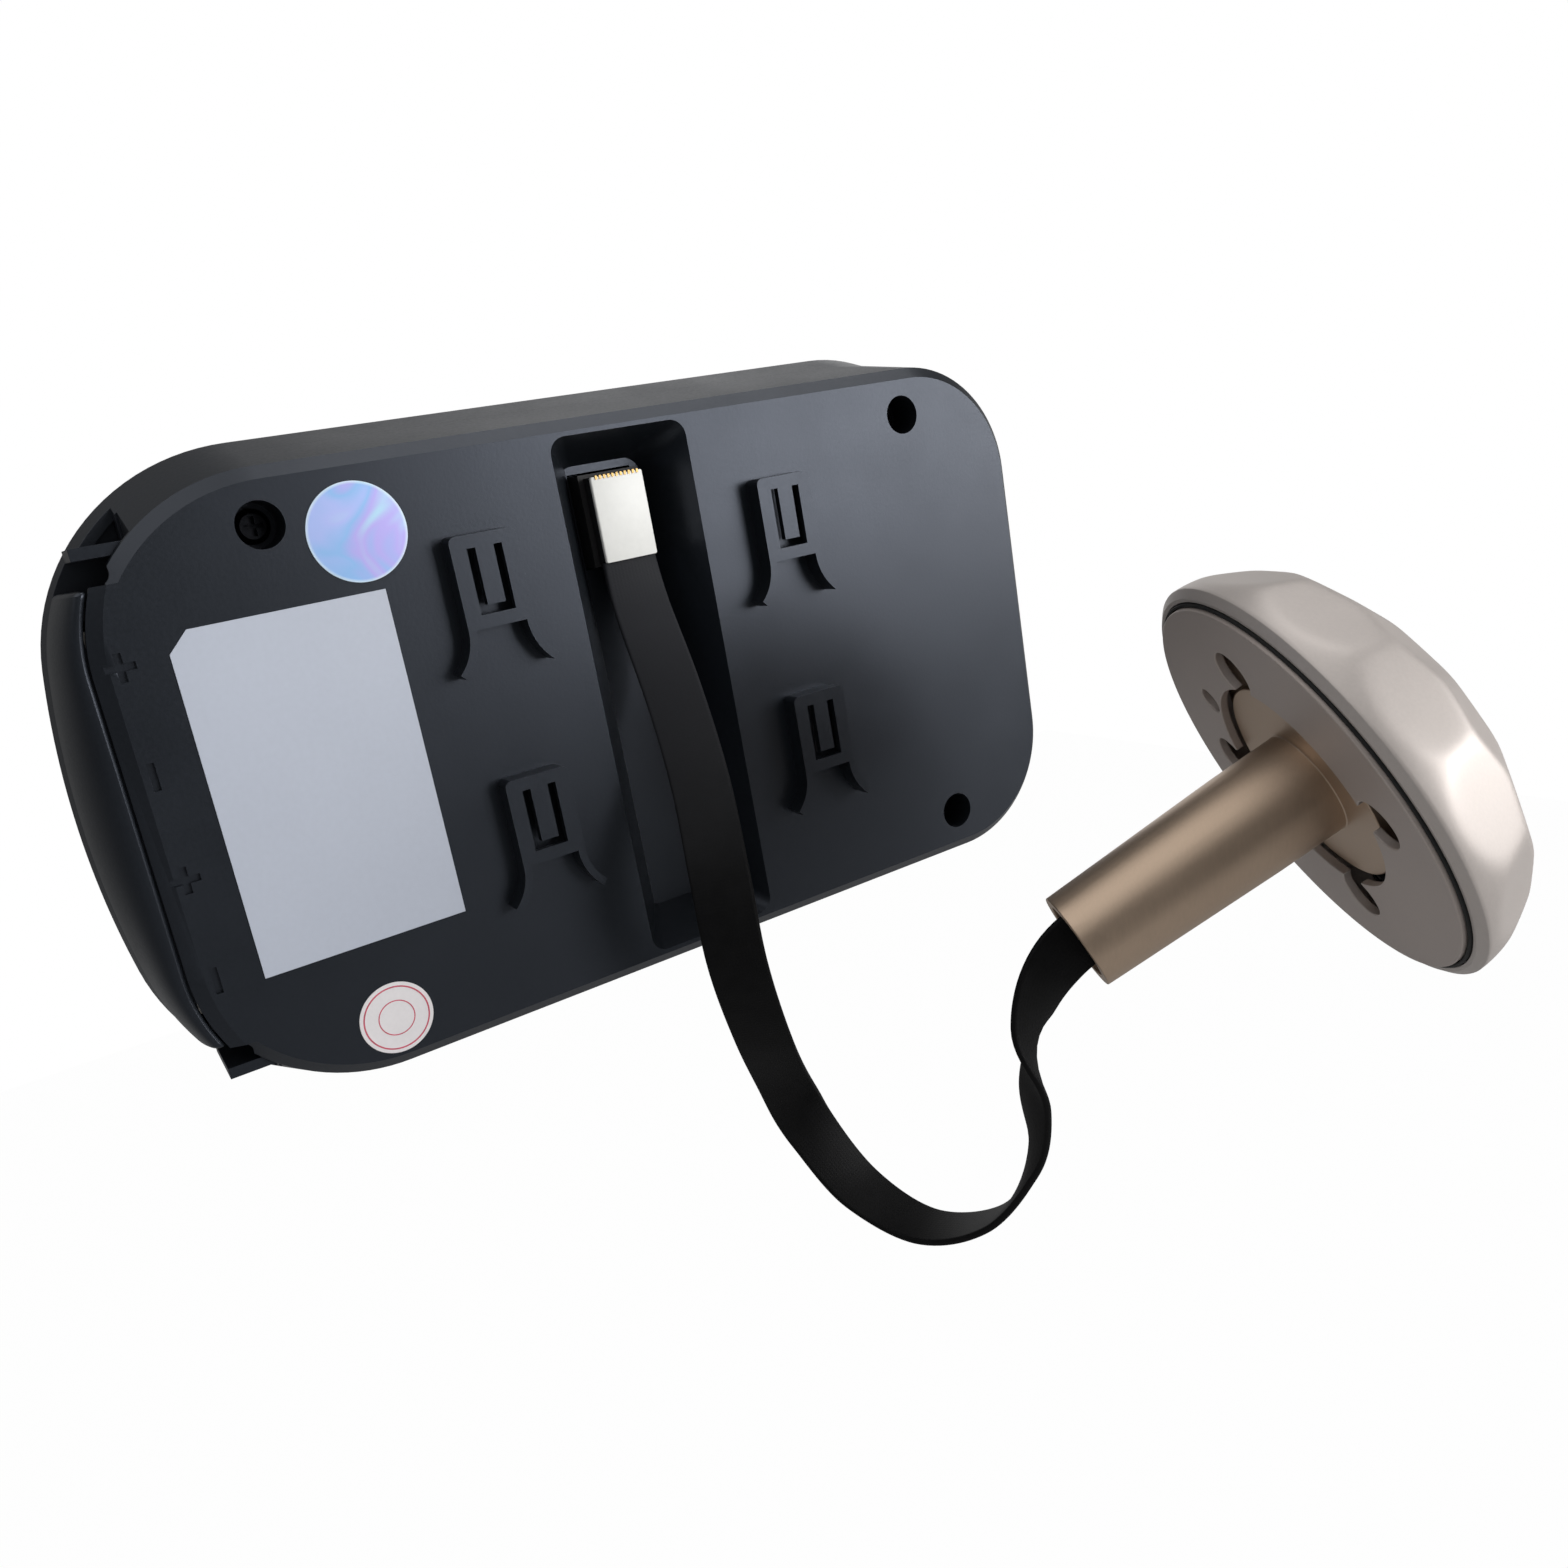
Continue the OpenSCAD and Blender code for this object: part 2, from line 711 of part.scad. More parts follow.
module cable_socket() {
    color("#e8e6df") translate([0, 0, plug_mid_z])
        block([-socket_w / 2, plug_y + plug_t, -socket_h / 2], [socket_w / 2, board_y, socket_h / 2]);
}

module speaker() {
    rim = 1;
    color("#3a3a3c") {
        post(key_x, -speaker_drop, deck_y + deck_t, front_in_y - rim, speaker_r);
        post(key_x, -speaker_drop, deck_y + deck_t, front_in_y - fit, speaker_r - rim);
    }
}

// One cell; its button end points left or right
module cell(i) {
    flip = i % 2;
    body_x0 = flip == 1 ? cell_x0 : cell_x0 + cell_nub;
    color("#c9a24b") translate([0, cell_y, ((cell_n - 1) / 2 - i) * cell_pitch]) rotate([0, 90, 0]) {
        translate([0, 0, body_x0]) cylinder(h = cell_len - cell_nub, r = cell_r);
        translate([0, 0, cell_x0]) cylinder(h = cell_len, r = cell_nub_r);
    }
}

module battery_1() cell(0);

module battery_2() cell(1);

module battery_3() cell(2);

module battery_4() cell(3);

module bay_contacts() {
    color("#c8c8c8") for (i = [0:cell_n - 1]) translate([0, cell_y, (i - (cell_n - 1) / 2) * cell_pitch])
        block([bay_wall_x - contact_t, -contact_h / 2, -contact_h / 2],
              [bay_wall_x, contact_h / 2, contact_h / 2]);
}

// Contact plates on the door's inside, each across a pair of cells
module contact_plates() {
    pair_h = cell_pitch + contact_h;
    for (side = [-1, 1]) translate([0, cell_y, side * cell_pitch])
        block([cell_x0 - cell_gap - contact_t, -contact_h / 2, -pair_h / 2],
              [cell_x0 - cell_gap, contact_h / 2, pair_h / 2]);
}

module door_contacts() color("#c8c8c8") contact_plates();

module case_screws() {
    color("#8c8c90") at_corners(screw_dx, screw_dz) {
        post(0, 0, well_d - screw_head_t, well_d, screw_head_r);
        post(0, 0, well_d - screw_head_t / 2, screw_tip_y, screw_r);
    }
}

module view_key() {
    color("#3b3e44") {
        post(key_x, 0, key_y, key_y + key_flange_t, key_r + key_flange);
        post(key_x, 0, key_y, case_t + key_out, key_r);
    }
}

module key_board() {
    color("#1f5136") translate([key_x, 0, 0])
        block([-key_board_w / 2, deck_y + deck_t, -key_board_h / 2],
              [key_board_w / 2, deck_y + deck_t + key_board_t, key_board_h / 2]);
}

module key_switch() {
    low = deck_y + deck_t + key_board_t;
    color("#2a2a2c") translate([key_x, 0, 0])
        block([-key_switch_w / 2, low, -key_switch_w / 2],
              [key_switch_w / 2, key_y - key_travel - fit, key_switch_w / 2]);
}

module cable_plug() {
    color("#e4e4e0") translate([0, 0, plug_mid_z])
        block([-plug_w / 2, plug_y, -plug_h / 2], [plug_w / 2, plug_y + plug_t, plug_h / 2]);
}

module ribbon_cable() {
    n = len(cable_route) - 1;
    half_w = ribbon_w / 2;
    half_t = ribbon_t / 2;
    edge = 0.3;
    section = [[half_w, half_t - edge], [half_w - edge, half_t],
               [-half_w + edge, half_t], [-half_w, half_t - edge],
               [-half_w, edge - half_t], [-half_w + edge, -half_t],
               [half_w - edge, -half_t], [half_w, edge - half_t]];
    sides = len(section);
    stations = [for (i = [0:n - 1], k = [0:cable_steps - 1]) [i, k / cable_steps], [n - 1, 1]];
    last = len(stations) - 1;
    mid = [for (s = stations) on_route(cable_route, 0, s[0], s[1])];
    along = [for (i = [0:last])
        i == 0 ? [0, 0, -1] : i == last ? head_axis : unit(mid[i + 1] - mid[i - 1])];
    points = [for (i = [0:last])
        let (w = on_route(cable_route, 1, stations[i][0], stations[i][1]),
             across = unit(w - (w * along[i]) * along[i]),
             up = cross(along[i], across))
        for (p = section) mid[i] + p[0] * across + p[1] * up];
    faces = concat(
        [[for (j = [0:sides - 1]) j]],
        [for (i = [0:last - 1], j = [0:sides - 1])
            let (a = i * sides + j, b = i * sides + (j + 1) % sides) [a, a + sides, b]],
        [for (i = [0:last - 1], j = [0:sides - 1])
            let (a = i * sides + j, b = i * sides + (j + 1) % sides) [b, a + sides, b + sides]],
        [[for (j = [sides - 1:-1:0]) last * sides + j]]);
    color("#17181a") polyhedron(points, faces);
}

module dome_shell() {
    rows = [28, 60];
    color("#cdc7c2") in_head() difference() {
        union() {
            difference() {
                intersection() {
                    rotate_extrude() dome_section(0);
                    translate([0, 0, lip_z]) cylinder(h = far, r = far);
                }
                for (k = [0:1], i = [0:facets - 1]) rotate((i + k / 2) * 360 / facets) facet(rows[k]);
                difference() {
                    translate([0, 0, ledge_z]) rotate_extrude() dome_section(dome_wall + ledge_z);
                    head_ring(4, head_screw_ring) translate([0, 0, head_board_z])
                        cylinder(h = far, r = head_boss_r);
                }
                translate([0, 0, -past]) cylinder(h = past + ledge_z, r = lip_r);
            }
        }
        head_ring(4, head_screw_ring) translate([0, 0, head_board_z - past])
            cylinder(h = past + 5, r = head_screw_r + fit);
        translate([0, lens_at, 0]) {
            translate([0, 0, dome_h - lens_window_t]) cylinder(h = far, r = lens_window_r + fit / 2);
            translate([0, 0, dome_in_z - past]) cylinder(h = far, r = lens_window_r - lens_ledge);
        }
        translate([0, bell_at, dome_in_z - past]) cylinder(h = far, r = bell_r + fit);
    }
}

module door_plate() {
    color("#8b8079") in_head() linear_extrude(door_plate_t) difference() {
        circle(door_plate_r);
        circle(opening_r);
        head_ring(4, head_screw_ring) circle(lobe_r);
        rotate(129) translate([head_screw_ring - 0.4, 0]) circle(small_lobe_r);
    }
}

module seal_ring() {
    color("#141414") in_head() translate([0, 0, 0.35]) linear_extrude(ledge_z - 0.35) difference() {
        circle(seal_r + seal_w);
        circle(seal_r);
    }
}

module barrel() {
    taper_len = barrel_len - collar_len;
    color("#8d6f5a") in_head() difference() {
        union() {
            translate([0, 0, -barrel_len]) cylinder(h = taper_len, r1 = mouth_r, r2 = barrel_r);
            translate([0, 0, -collar_len]) cylinder(h = collar_len + ear_z, r = barrel_r);
            translate([0, 0, flange_z]) cylinder(h = ear_z - flange_z + weld, r = flange_r);
            translate([0, 0, ear_z]) cylinder(h = ear_t, r = ear_r);
        }
        translate([0, 0, -barrel_len - past]) cylinder(h = barrel_len + head_board_z + 2 * past, r = bore_r);
        head_ring(4, head_screw_ring) cylinder(h = head_board_z + past, r = head_screw_r + fit);
    }
}

module head_screws() {
    color("#3a3a3c") in_head() head_ring(4, head_screw_ring) {
        translate([0, 0, ear_z - head_screw_head_t]) cylinder(h = head_screw_head_t, r = head_screw_head_r);
        translate([0, 0, ear_z - head_screw_head_t / 2]) cylinder(h = 5, r = head_screw_r);
    }
}

module head_board() {
    color("#1f5136") in_head() translate([0, 0, head_board_z]) cylinder(h = head_board_t, r = head_board_r);
}

module camera_module() {
    base = [14, 11];
    color("#202022") in_head() translate([0, lens_at, 0]) {
        translate([-base[0] / 2, -base[1] / 2, head_board_top])
            cube([base[0], base[1], lens_plate_z - head_board_top]);
        translate([0, 0, lens_plate_z]) cylinder(h = 1, r = lens_plate_r);
        translate([0, 0, lens_plate_z]) cylinder(h = dome_in_z - lens_plate_z, r = lens_tube_r);
    }
}

module ir_leds() {
    color("#d8dde6") in_head() translate([0, lens_at, lens_plate_z + 1]) rotate(45) head_ring(4, led_ring)
        cylinder(h = 3, r = led_r);
}

module lens_window() {
    color([0.03, 0.03, 0.04, 0.7]) in_head() translate([0, lens_at, dome_h - lens_window_t])
        cylinder(h = lens_window_t - 0.2, r = lens_window_r - fit / 2);
}

module bell_button() {
    color("#b9b3ad") in_head() translate([0, bell_at, bell_z]) {
        cylinder(h = bell_flange_t, r = bell_r + bell_flange);
        cylinder(h = dome_h + bell_out - bell_z, r = bell_r);
    }
}

module bell_switch() {
    stem_r = 1.7;
    color("#2a2a2c") in_head() translate([0, bell_at, head_board_top]) {
        translate([-bell_switch_w / 2, -bell_switch_w / 2, 0])
            cube([bell_switch_w, bell_switch_w, bell_switch_h]);
        cylinder(h = bell_z - bell_travel - fit - head_board_top, r = stem_r);
    }
}

front_housing();
rear_cover();
battery_door();
screen_window();
lcd_panel();
main_board();
board_chips();
cable_socket();
speaker();
battery_1();
battery_2();
battery_3();
battery_4();
bay_contacts();
door_contacts();
case_screws();
view_key();
key_board();
key_switch();
ribbon_cable();
cable_plug();
dome_shell();
door_plate();
seal_ring();
barrel();
head_screws();
head_board();
camera_module();
ir_leds();
lens_window();
bell_button();
bell_switch();
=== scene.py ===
"""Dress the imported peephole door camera: its case, stickers, flat cable and camera head, and the stage."""

import math

import bmesh
import bpy
from bpy.props import FloatProperty, FloatVectorProperty, IntProperty, PointerProperty
from bpy.types import Operator, Panel, PropertyGroup
from mathutils import Matrix, Vector


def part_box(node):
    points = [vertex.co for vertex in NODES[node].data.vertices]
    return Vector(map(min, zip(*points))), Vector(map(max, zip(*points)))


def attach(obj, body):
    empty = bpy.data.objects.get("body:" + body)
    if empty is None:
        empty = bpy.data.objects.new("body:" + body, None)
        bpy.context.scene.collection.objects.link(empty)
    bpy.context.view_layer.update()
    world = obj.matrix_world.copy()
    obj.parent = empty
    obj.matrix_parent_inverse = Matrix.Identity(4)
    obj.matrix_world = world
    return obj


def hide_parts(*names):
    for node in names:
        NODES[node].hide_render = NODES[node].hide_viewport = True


bl_info = {
    "name": "Peephole door camera",
    "version": (1, 0, 0),
    "blender": (4, 5, 0),
    "location": "3D View > Sidebar > Peephole",
    "description": "Dresses the door camera's frame with its finished pieces and a stage",
    "category": "Object",
}

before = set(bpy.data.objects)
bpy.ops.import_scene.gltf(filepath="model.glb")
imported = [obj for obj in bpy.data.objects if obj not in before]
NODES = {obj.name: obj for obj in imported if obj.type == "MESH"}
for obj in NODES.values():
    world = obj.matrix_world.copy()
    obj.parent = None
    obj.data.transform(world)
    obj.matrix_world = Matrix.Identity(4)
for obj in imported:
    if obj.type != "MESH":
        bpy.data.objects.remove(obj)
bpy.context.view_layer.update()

MM = 0.001
MERGE = 1e-6
# Angle in degrees above which an edge between flat faces is sharp
FOLD = 40

# Head: its origin on the door face, and its axes
HEAD_POS = Vector((52.0, -61.5, -20.5)) * MM
HEAD_TILT = math.radians(65)
HEAD_TURN = math.radians(-25.5)
HEAD_ROT = Matrix.Rotation(HEAD_TURN, 4, "Z") @ Matrix.Rotation(HEAD_TILT, 4, "Y")
HEAD = Matrix.Translation(HEAD_POS) @ HEAD_ROT
HEAD_AXIS = HEAD_ROT @ Vector((0, 0, 1))


def head_at(z):
    """Point on the head's axis, in millimetres."""
    return HEAD_POS / MM + z * HEAD_AXIS


# Cable: points of its middle line with the direction of its width, in millimetres
BARREL_DIR = (-0.35, 0.25, 0.9)
CABLE_ROUTE = (
    ((0, 4.4, 18.8), (-1, 0, 0)),
    ((0, 3.2, 12), (-1, 0.2, 0)),
    ((-0.5, -2.5, 0), (-0.9, 0.4, -0.15)),
    ((-3, -10.5, -11), (-0.85, 0.5, -0.1)),
    ((-6, -17, -22), (-0.85, 0.5, 0)),
    ((-6.7, -18.7, -33.7), (-0.8, 0.6, 0)),
    ((-3.5, -15.5, -46.7), (-0.75, 0.65, 0)),
    ((1.8, -9.3, -58.6), (-0.8, 0.6, -0.1)),
    ((7, -5.4, -70.1), (-0.95, 0, -0.3)),
    ((11.3, -9.5, -80.5), (-1, -0.15, -0.15)),
    ((15.3, -20.2, -84.2), (-0.9, -0.4, 0)),
    ((19.8, -31.5, -79.4), (-0.9, -0.4, 0.1)),
    ((21.5, -38.6, -68), (-0.6, -0.75, 0.15)),
    ((20.3, -42.6, -55.9), (-0.3, -0.95, -0.15)),
    ((19.9, -44.4, -44.6), (-0.85, -0.25, 0.5)),
    (head_at(-35) + Vector((0.6, 0.5, -0.7)), (-0.55, 0.2, 0.8)),
    (head_at(-23), BARREL_DIR),
    (head_at(-11), BARREL_DIR),
    (head_at(5.35), BARREL_DIR),
)
CABLE_STEPS = 12

# Middle of the foil disc in X and Z, in millimetres
FOIL_AT = (-36.4, 28.8)

# Period of a wave texture at scale 1
WAVE_PERIOD = 0.314


def linear(code):
    """Linear colour with alpha from an sRGB hex code."""
    parts = [int(code[i : i + 2], 16) / 255 for i in (1, 3, 5)]
    return tuple(c / 12.92 if c <= 0.04045 else ((c + 0.055) / 1.055) ** 2.4 for c in parts) + (1.0,)


def colour(name, words, code):
    """Colour property with an sRGB hex default."""
    return FloatVectorProperty(
        name=name, description=words, subtype="COLOR", size=4, min=0, max=1, default=linear(code)
    )


def length(name, words, millimetres):
    """Length property with its default in millimetres."""
    return FloatProperty(
        name=name, description=words, default=millimetres * MM, min=0, unit="LENGTH", precision=5
    )


class PeepholeSizes(PropertyGroup):
    """Sizes of the finished pieces."""

    case_edge: length("Case edge", "Rounding of the moulded edges", 0.4)
    small_edge: length("Small edge", "Rounding of the small pieces", 0.15)
    sign_depth: length("Sign depth", "Depth of the polarity signs in the back", 0.45)
    sign_span: length("Sign span", "Length of the strokes of a polarity sign", 3.3)
    sign_stroke: length("Sign stroke", "Width of the strokes of a polarity sign", 0.85)
    sticker: length("Sticker", "Thickness of the stickers", 0.12)
    label_cut: length("Label corner", "Cut at the label's upper left corner", 2.4)
    foil_radius: length("Foil disc", "Radius of the foil disc", 6.0)
    seal_radius: length("Paper seal", "Radius of the paper seal", 4.7)
    ribbon_width: length("Ribbon width", "Width of the flat cable", 8.0)
    ribbon_thick: length("Ribbon thickness", "Thickness of the flat cable", 1.0)
    facet_blend: length("Facet blend", "Softness of the edges between the dome's facets", 0.16)
    facet_cut: length("Facet cut", "Depth of the dome's facets", 0.9)
    facets: IntProperty(name="Facets", description="Facets in a row of the dome", default=12, min=6, max=24)


class PeepholeColours(PropertyGroup):
    """Colours of the finished pieces."""

    case: colour("Case", "Moulded case", "#15181c")
    label: colour("Label", "Blank back label", "#b9bfcc")
    plug: colour("Plug", "Cable plug", "#efefeb")
    ribbon: colour("Ribbon", "Flat cable", "#080809")
    dome: colour("Dome", "Outer dome of the head", "#c2bab5")
    plate: colour("Door plate", "Plate that lies on the door", "#b6aba5")
    barrel: colour("Barrel", "Tube through the door", "#bfa994")
    ink: colour("Seal ink", "Ring on the paper seal", "#c8566a")


def sizes():
    return bpy.context.scene.peephole_sizes


def colours():
    return bpy.context.scene.peephole_colours


def feed(tree, made, inputs):
    """Give sockets of a node a value, another node's socket or a list of sockets."""
    for key, value in inputs.items():
        sources = value if isinstance(value, list) else [value]
        if isinstance(sources[0], bpy.types.NodeSocket):
            for source in sources:
                tree.links.new(source, made.inputs[key])
        else:
            made.inputs[key].default_value = value
    return made


def put(tree, kind, inputs=None, **settings):
    """Add a node with its settings and what its sockets are given."""
    made = tree.nodes.new(kind)
    for key, value in settings.items():
        setattr(made, key, value)
    return feed(tree, made, inputs or {})


def sums(tree, operation, first, second):
    """Result of a calculation with two values or sockets."""
    return put(tree, "ShaderNodeMath", {0: first, 1: second}, operation=operation).outputs["Value"]


def ranged(tree, value, source, target):
    """A value moved from one range to another, and kept inside it."""
    ends = {"From Min": source[0], "From Max": source[1], "To Min": target[0], "To Max": target[1]}
    return put(tree, "ShaderNodeMapRange", {"Value": value, **ends}).outputs["Result"]


def blended(tree, share, first, second):
    """Shader between two others."""
    return put(tree, "ShaderNodeMixShader", {0: share, 1: first, 2: second}).outputs["Shader"]


def per(millimetres):
    """Texture scale for a pattern of that size on coordinates in metres."""
    return 1 / (millimetres * MM)


def noise(tree, at, millimetres, detail, **more):
    """Noise with patches of a given size."""
    inputs = {"Vector": at, "Scale": per(millimetres), "Detail": detail, **more}
    return put(tree, "ShaderNodeTexNoise", inputs).outputs["Fac"]


def bumped(tree, height, millimetres, strength=1.0):
    """Normal from a pattern of heights."""
    inputs = {"Height": height, "Strength": strength, "Distance": millimetres * MM}
    return put(tree, "ShaderNodeBump", inputs).outputs["Normal"]


def ramp(tree, value, stops, interpolation="LINEAR"):
    """Colour from stops, given as position and colour."""
    made = put(tree, "ShaderNodeValToRGB", {"Fac": value})
    points = made.color_ramp.elements
    while len(points) < len(stops):
        points.new(0.5)
    for point, (place, shade) in zip(points, stops):
        point.position, point.color = place, shade
    made.color_ramp.interpolation = interpolation
    return made.outputs["Color"]


def tint(value, factor):
    """A linear colour made lighter or darker."""
    return tuple(min(1.0, c * factor) for c in value[:3]) + (1.0,)


def blank(name):
    """New material with its tree, shader and object coordinates."""
    made = bpy.data.materials.new(name)
    made.use_nodes = True
    tree = made.node_tree
    return made, tree, tree.nodes["Principled BSDF"], put(tree, "ShaderNodeTexCoord").outputs["Object"]


def surface(name, base, rough, grain, relief, shift=0.12, patch=14.0, stretch=None, **sockets):
    """Material with patchy tone, uneven gloss and a fine relief; sizes are in millimetres."""
    made, tree, shader, at = blank(name)
    broad = noise(tree, at, patch, 3.0)
    if stretch:
        at = put(tree, "ShaderNodeMapping", {"Vector": at, **stretch}).outputs["Vector"]
    fine = noise(tree, at, grain, 2.0)
    both = put(tree, "ShaderNodeMix", {"Factor": 0.5, "A": broad, "B": fine}).outputs["Result"]
    usual, uneven = (0.3, 0.7), 0.05
    tone = ramp(tree, both, ((usual[0], tint(base, 1 - shift)), (usual[1], tint(base, 1 + shift))))
    gloss = ranged(tree, both, usual, (rough - uneven, rough + uneven))
    feed(tree, shader, {"Base Color": tone, "Roughness": gloss, "Normal": bumped(tree, fine, relief)})
    feed(tree, shader, {key.replace("_", " "): value for key, value in sockets.items()})
    return made


def moulded_abs():
    # ABS moulded in a spark-eroded tool: a fine even grain spreads the light into a soft sheen.
    # The real grain is about 0.1 mm; it is drawn at 0.45 mm so that it shows.
    return surface(
        "moulded_abs", colours().case, 0.34, 0.45, 0.008, IOR=1.53, Specular_Tint=linear("#e3ecff")
    )


def key_abs():
    # ABS from a polished tool: smoother than the case, so its highlights are tighter.
    return surface("key_abs", linear("#3b3e44"), 0.3, 0.6, 0.006, IOR=1.53)


def tinted_acrylic():
    # Cast acrylic with a grey tint: glossy, and the dark display shows through it.
    return surface(
        "tinted_acrylic", linear("#3c4046"), 0.06, 2.0, 0.001, 0.04, IOR=1.49, Transmission_Weight=0.92
    )


def display_film():
    # Polarising film over a liquid crystal panel: near black when off, with a low satin gloss.
    return surface("display_film", linear("#0d0f14"), 0.22, 0.4, 0.002, 0.2, IOR=1.5)


def board_laminate():
    # Glass-epoxy laminate under green solder mask: the cloth inside gives a faint weave.
    return surface("board_laminate", linear("#1f5136"), 0.38, 0.8, 0.01, 0.2, 5.0, IOR=1.55)


def black_nylon():
    # Glass-filled nylon: matt black with a dusty grain.
    return surface("black_nylon", linear("#1b1b1d"), 0.6, 0.5, 0.015, 0.2, IOR=1.53)


def white_nylon():
    # Unfilled nylon, moulded smooth: off-white and a little waxy.
    return surface("white_nylon", colours().plug, 0.42, 0.9, 0.006, 0.03, 5.0, IOR=1.53)


def contact_nickel():
    # Nickel-plated spring steel: bright, with rolling marks.
    return surface("contact_nickel", linear("#c9c6c0"), 0.3, 0.4, 0.0015, 0.05, Metallic=1.0)


def screw_steel():
    # Black zinc-plated steel: dark, with a dull metal shine on the edges.
    return surface("screw_steel", linear("#1e1f22"), 0.42, 0.4, 0.01, 0.2, 3.0, Metallic=1.0)


def gold_plate():
    # Flash gold on copper contacts: warm, dulled by handling.
    return surface("gold_plate", linear("#a88a58"), 0.34, 0.4, 0.006, 0.2, 2.0, Metallic=1.0)


def painted_dome():
    # Cast metal under a pearly champagne paint: a soft sheen without sharp reflections.
    # The flakes are finer than the render shows, so they are drawn at 0.4 mm.
    return surface("painted_champagne", colours().dome, 0.48, 0.4, 0.006, 0.05, Metallic=0.5, IOR=1.5)


def dome_rim():
    # Bare turned metal at the rim, clear of the paint: darker and browner.
    return surface("turned_rim", linear("#8f7863"), 0.4, 0.4, 0.006, 0.08, Metallic=1.0)


def button_metal():
    # Turned aluminium cap, anodised: it shines more than the dome round it.
    return surface("anodised_button", linear("#c2bcb6"), 0.32, 0.3, 0.001, 0.03, Metallic=1.0)


def plate_metal():
    # Zinc plate under a matt metallic paint: flat taupe with tiny flakes.
    return surface("painted_taupe", colours().plate, 0.5, 0.35, 0.008, 0.06, Metallic=0.4, IOR=1.5)


def anodised_barrel():
    # Aluminium tube, satin anodised bronze: fine draw lines along it stretch the highlight.
    return surface(
        "anodised_bronze", colours().barrel, 0.4, 0.4, 0.005, 0.06, Metallic=0.85,
        stretch={"Rotation": (0.0, -HEAD_TILT, 0.0), "Scale": (1.0, 1.0, 0.2)},
    )


def seal_rubber():
    # Moulded nitrile rubber: matt black.
    return surface("seal_rubber", linear("#141414"), 0.72, 0.4, 0.02, 0.2, IOR=1.52)


def lens_glass():
    # Coated optical glass: deep and glossy with a dark tint.
    return surface(
        "lens_glass", linear("#20222a"), 0.05, 2.0, 0.0005, 0.03, IOR=1.52, Transmission_Weight=0.9
    )


def led_epoxy():
    # Clear cast epoxy, faintly blue.
    return surface("led_epoxy", linear("#d3d9e6"), 0.1, 1.0, 0.002, 0.05, IOR=1.54, Transmission_Weight=0.6)


def label_polyester():
    # Silver-grey polyester film, printed side bare: an even satin sheet with a faint roll texture.
    return surface("label_polyester", colours().label, 0.38, 0.7, 0.003, 0.025, 20.0, IOR=1.57)


def seal_paper():
    # Thin brittle paper: matt and fibrous.
    return surface("seal_paper", linear("#e9e5e6"), 0.75, 0.5, 0.012, 0.03, 3.0, IOR=1.5)


def seal_ink():
    # Stamped ink: uneven where the paper took less of it.
    return surface("seal_ink", colours().ink, 0.7, 0.4, 0.004, 0.25, 1.0, IOR=1.5)


def diffraction_foil():
    # Embossed aluminised film: pale blue, violet and cyan clouds that drift across the disc.
    made, tree, shader, at = blank("diffraction_foil")
    clouds = noise(tree, at, 9.0, 2.0, Roughness=0.4, Distortion=1.2)
    slant = put(tree, "ShaderNodeMapping", {"Vector": at, "Rotation": (0.0, math.radians(35), 0.0)})
    across = put(tree, "ShaderNodeSeparateXYZ", {"Vector": slant.outputs["Vector"]}).outputs["X"]
    drift = ranged(tree, across, (-20 * MM, -6 * MM), (-0.25, 0.25))
    stops = ((0.15, "#c0eaf6"), (0.35, "#b4c0f6"), (0.5, "#93bff0"), (0.65, "#b9aef0"), (0.85, "#b5e3f4"))
    tone = ramp(tree, sums(tree, "ADD", clouds, drift), [(place, linear(code)) for place, code in stops])
    # Painted highlight along the rim of the disc: paler towards its edge
    middle = (FOIL_AT[0] * MM, 0.0, FOIL_AT[1] * MM)
    away = put(tree, "ShaderNodeVectorMath", {0: at, 1: middle}, operation="DISTANCE").outputs["Value"]
    rim = ranged(tree, away, (5.6 * MM, 5.9 * MM), (0.0, 0.7))
    rim_highlighted = put(tree, "ShaderNodeMixRGB", {"Fac": rim, "Color1": tone, "Color2": linear("#dff0f7")})
    feed(tree, shader, {"Base Color": rim_highlighted.outputs["Color"], "Metallic": 0.35, "Roughness": 0.3})
    return made


def cell_sleeve():
    # Shrink film over a steel can: plain green sleeve, bare bright metal at both ends.
    made, tree, shader, at = blank("cell_sleeve")
    low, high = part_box("battery_1")
    along = put(tree, "ShaderNodeSeparateXYZ", {"Vector": at}).outputs["X"]
    place = ranged(tree, along, (low[0], high[0]), (0.0, 1.0))
    metal, film, band = linear("#b9b7b2"), linear("#2f5f55"), linear("#9aa8a0")
    stops = ((0.0, metal), (0.045, film), (0.3, band), (0.34, film), (0.955, metal))
    sleeve = ramp(tree, place, stops, "CONSTANT")
    wrinkle = bumped(tree, noise(tree, at, 1.2, 2.0), 0.01)
    feed(tree, shader, {"Base Color": sleeve, "Normal": wrinkle, "Metallic": 0.4, "Roughness": 0.3})
    return made


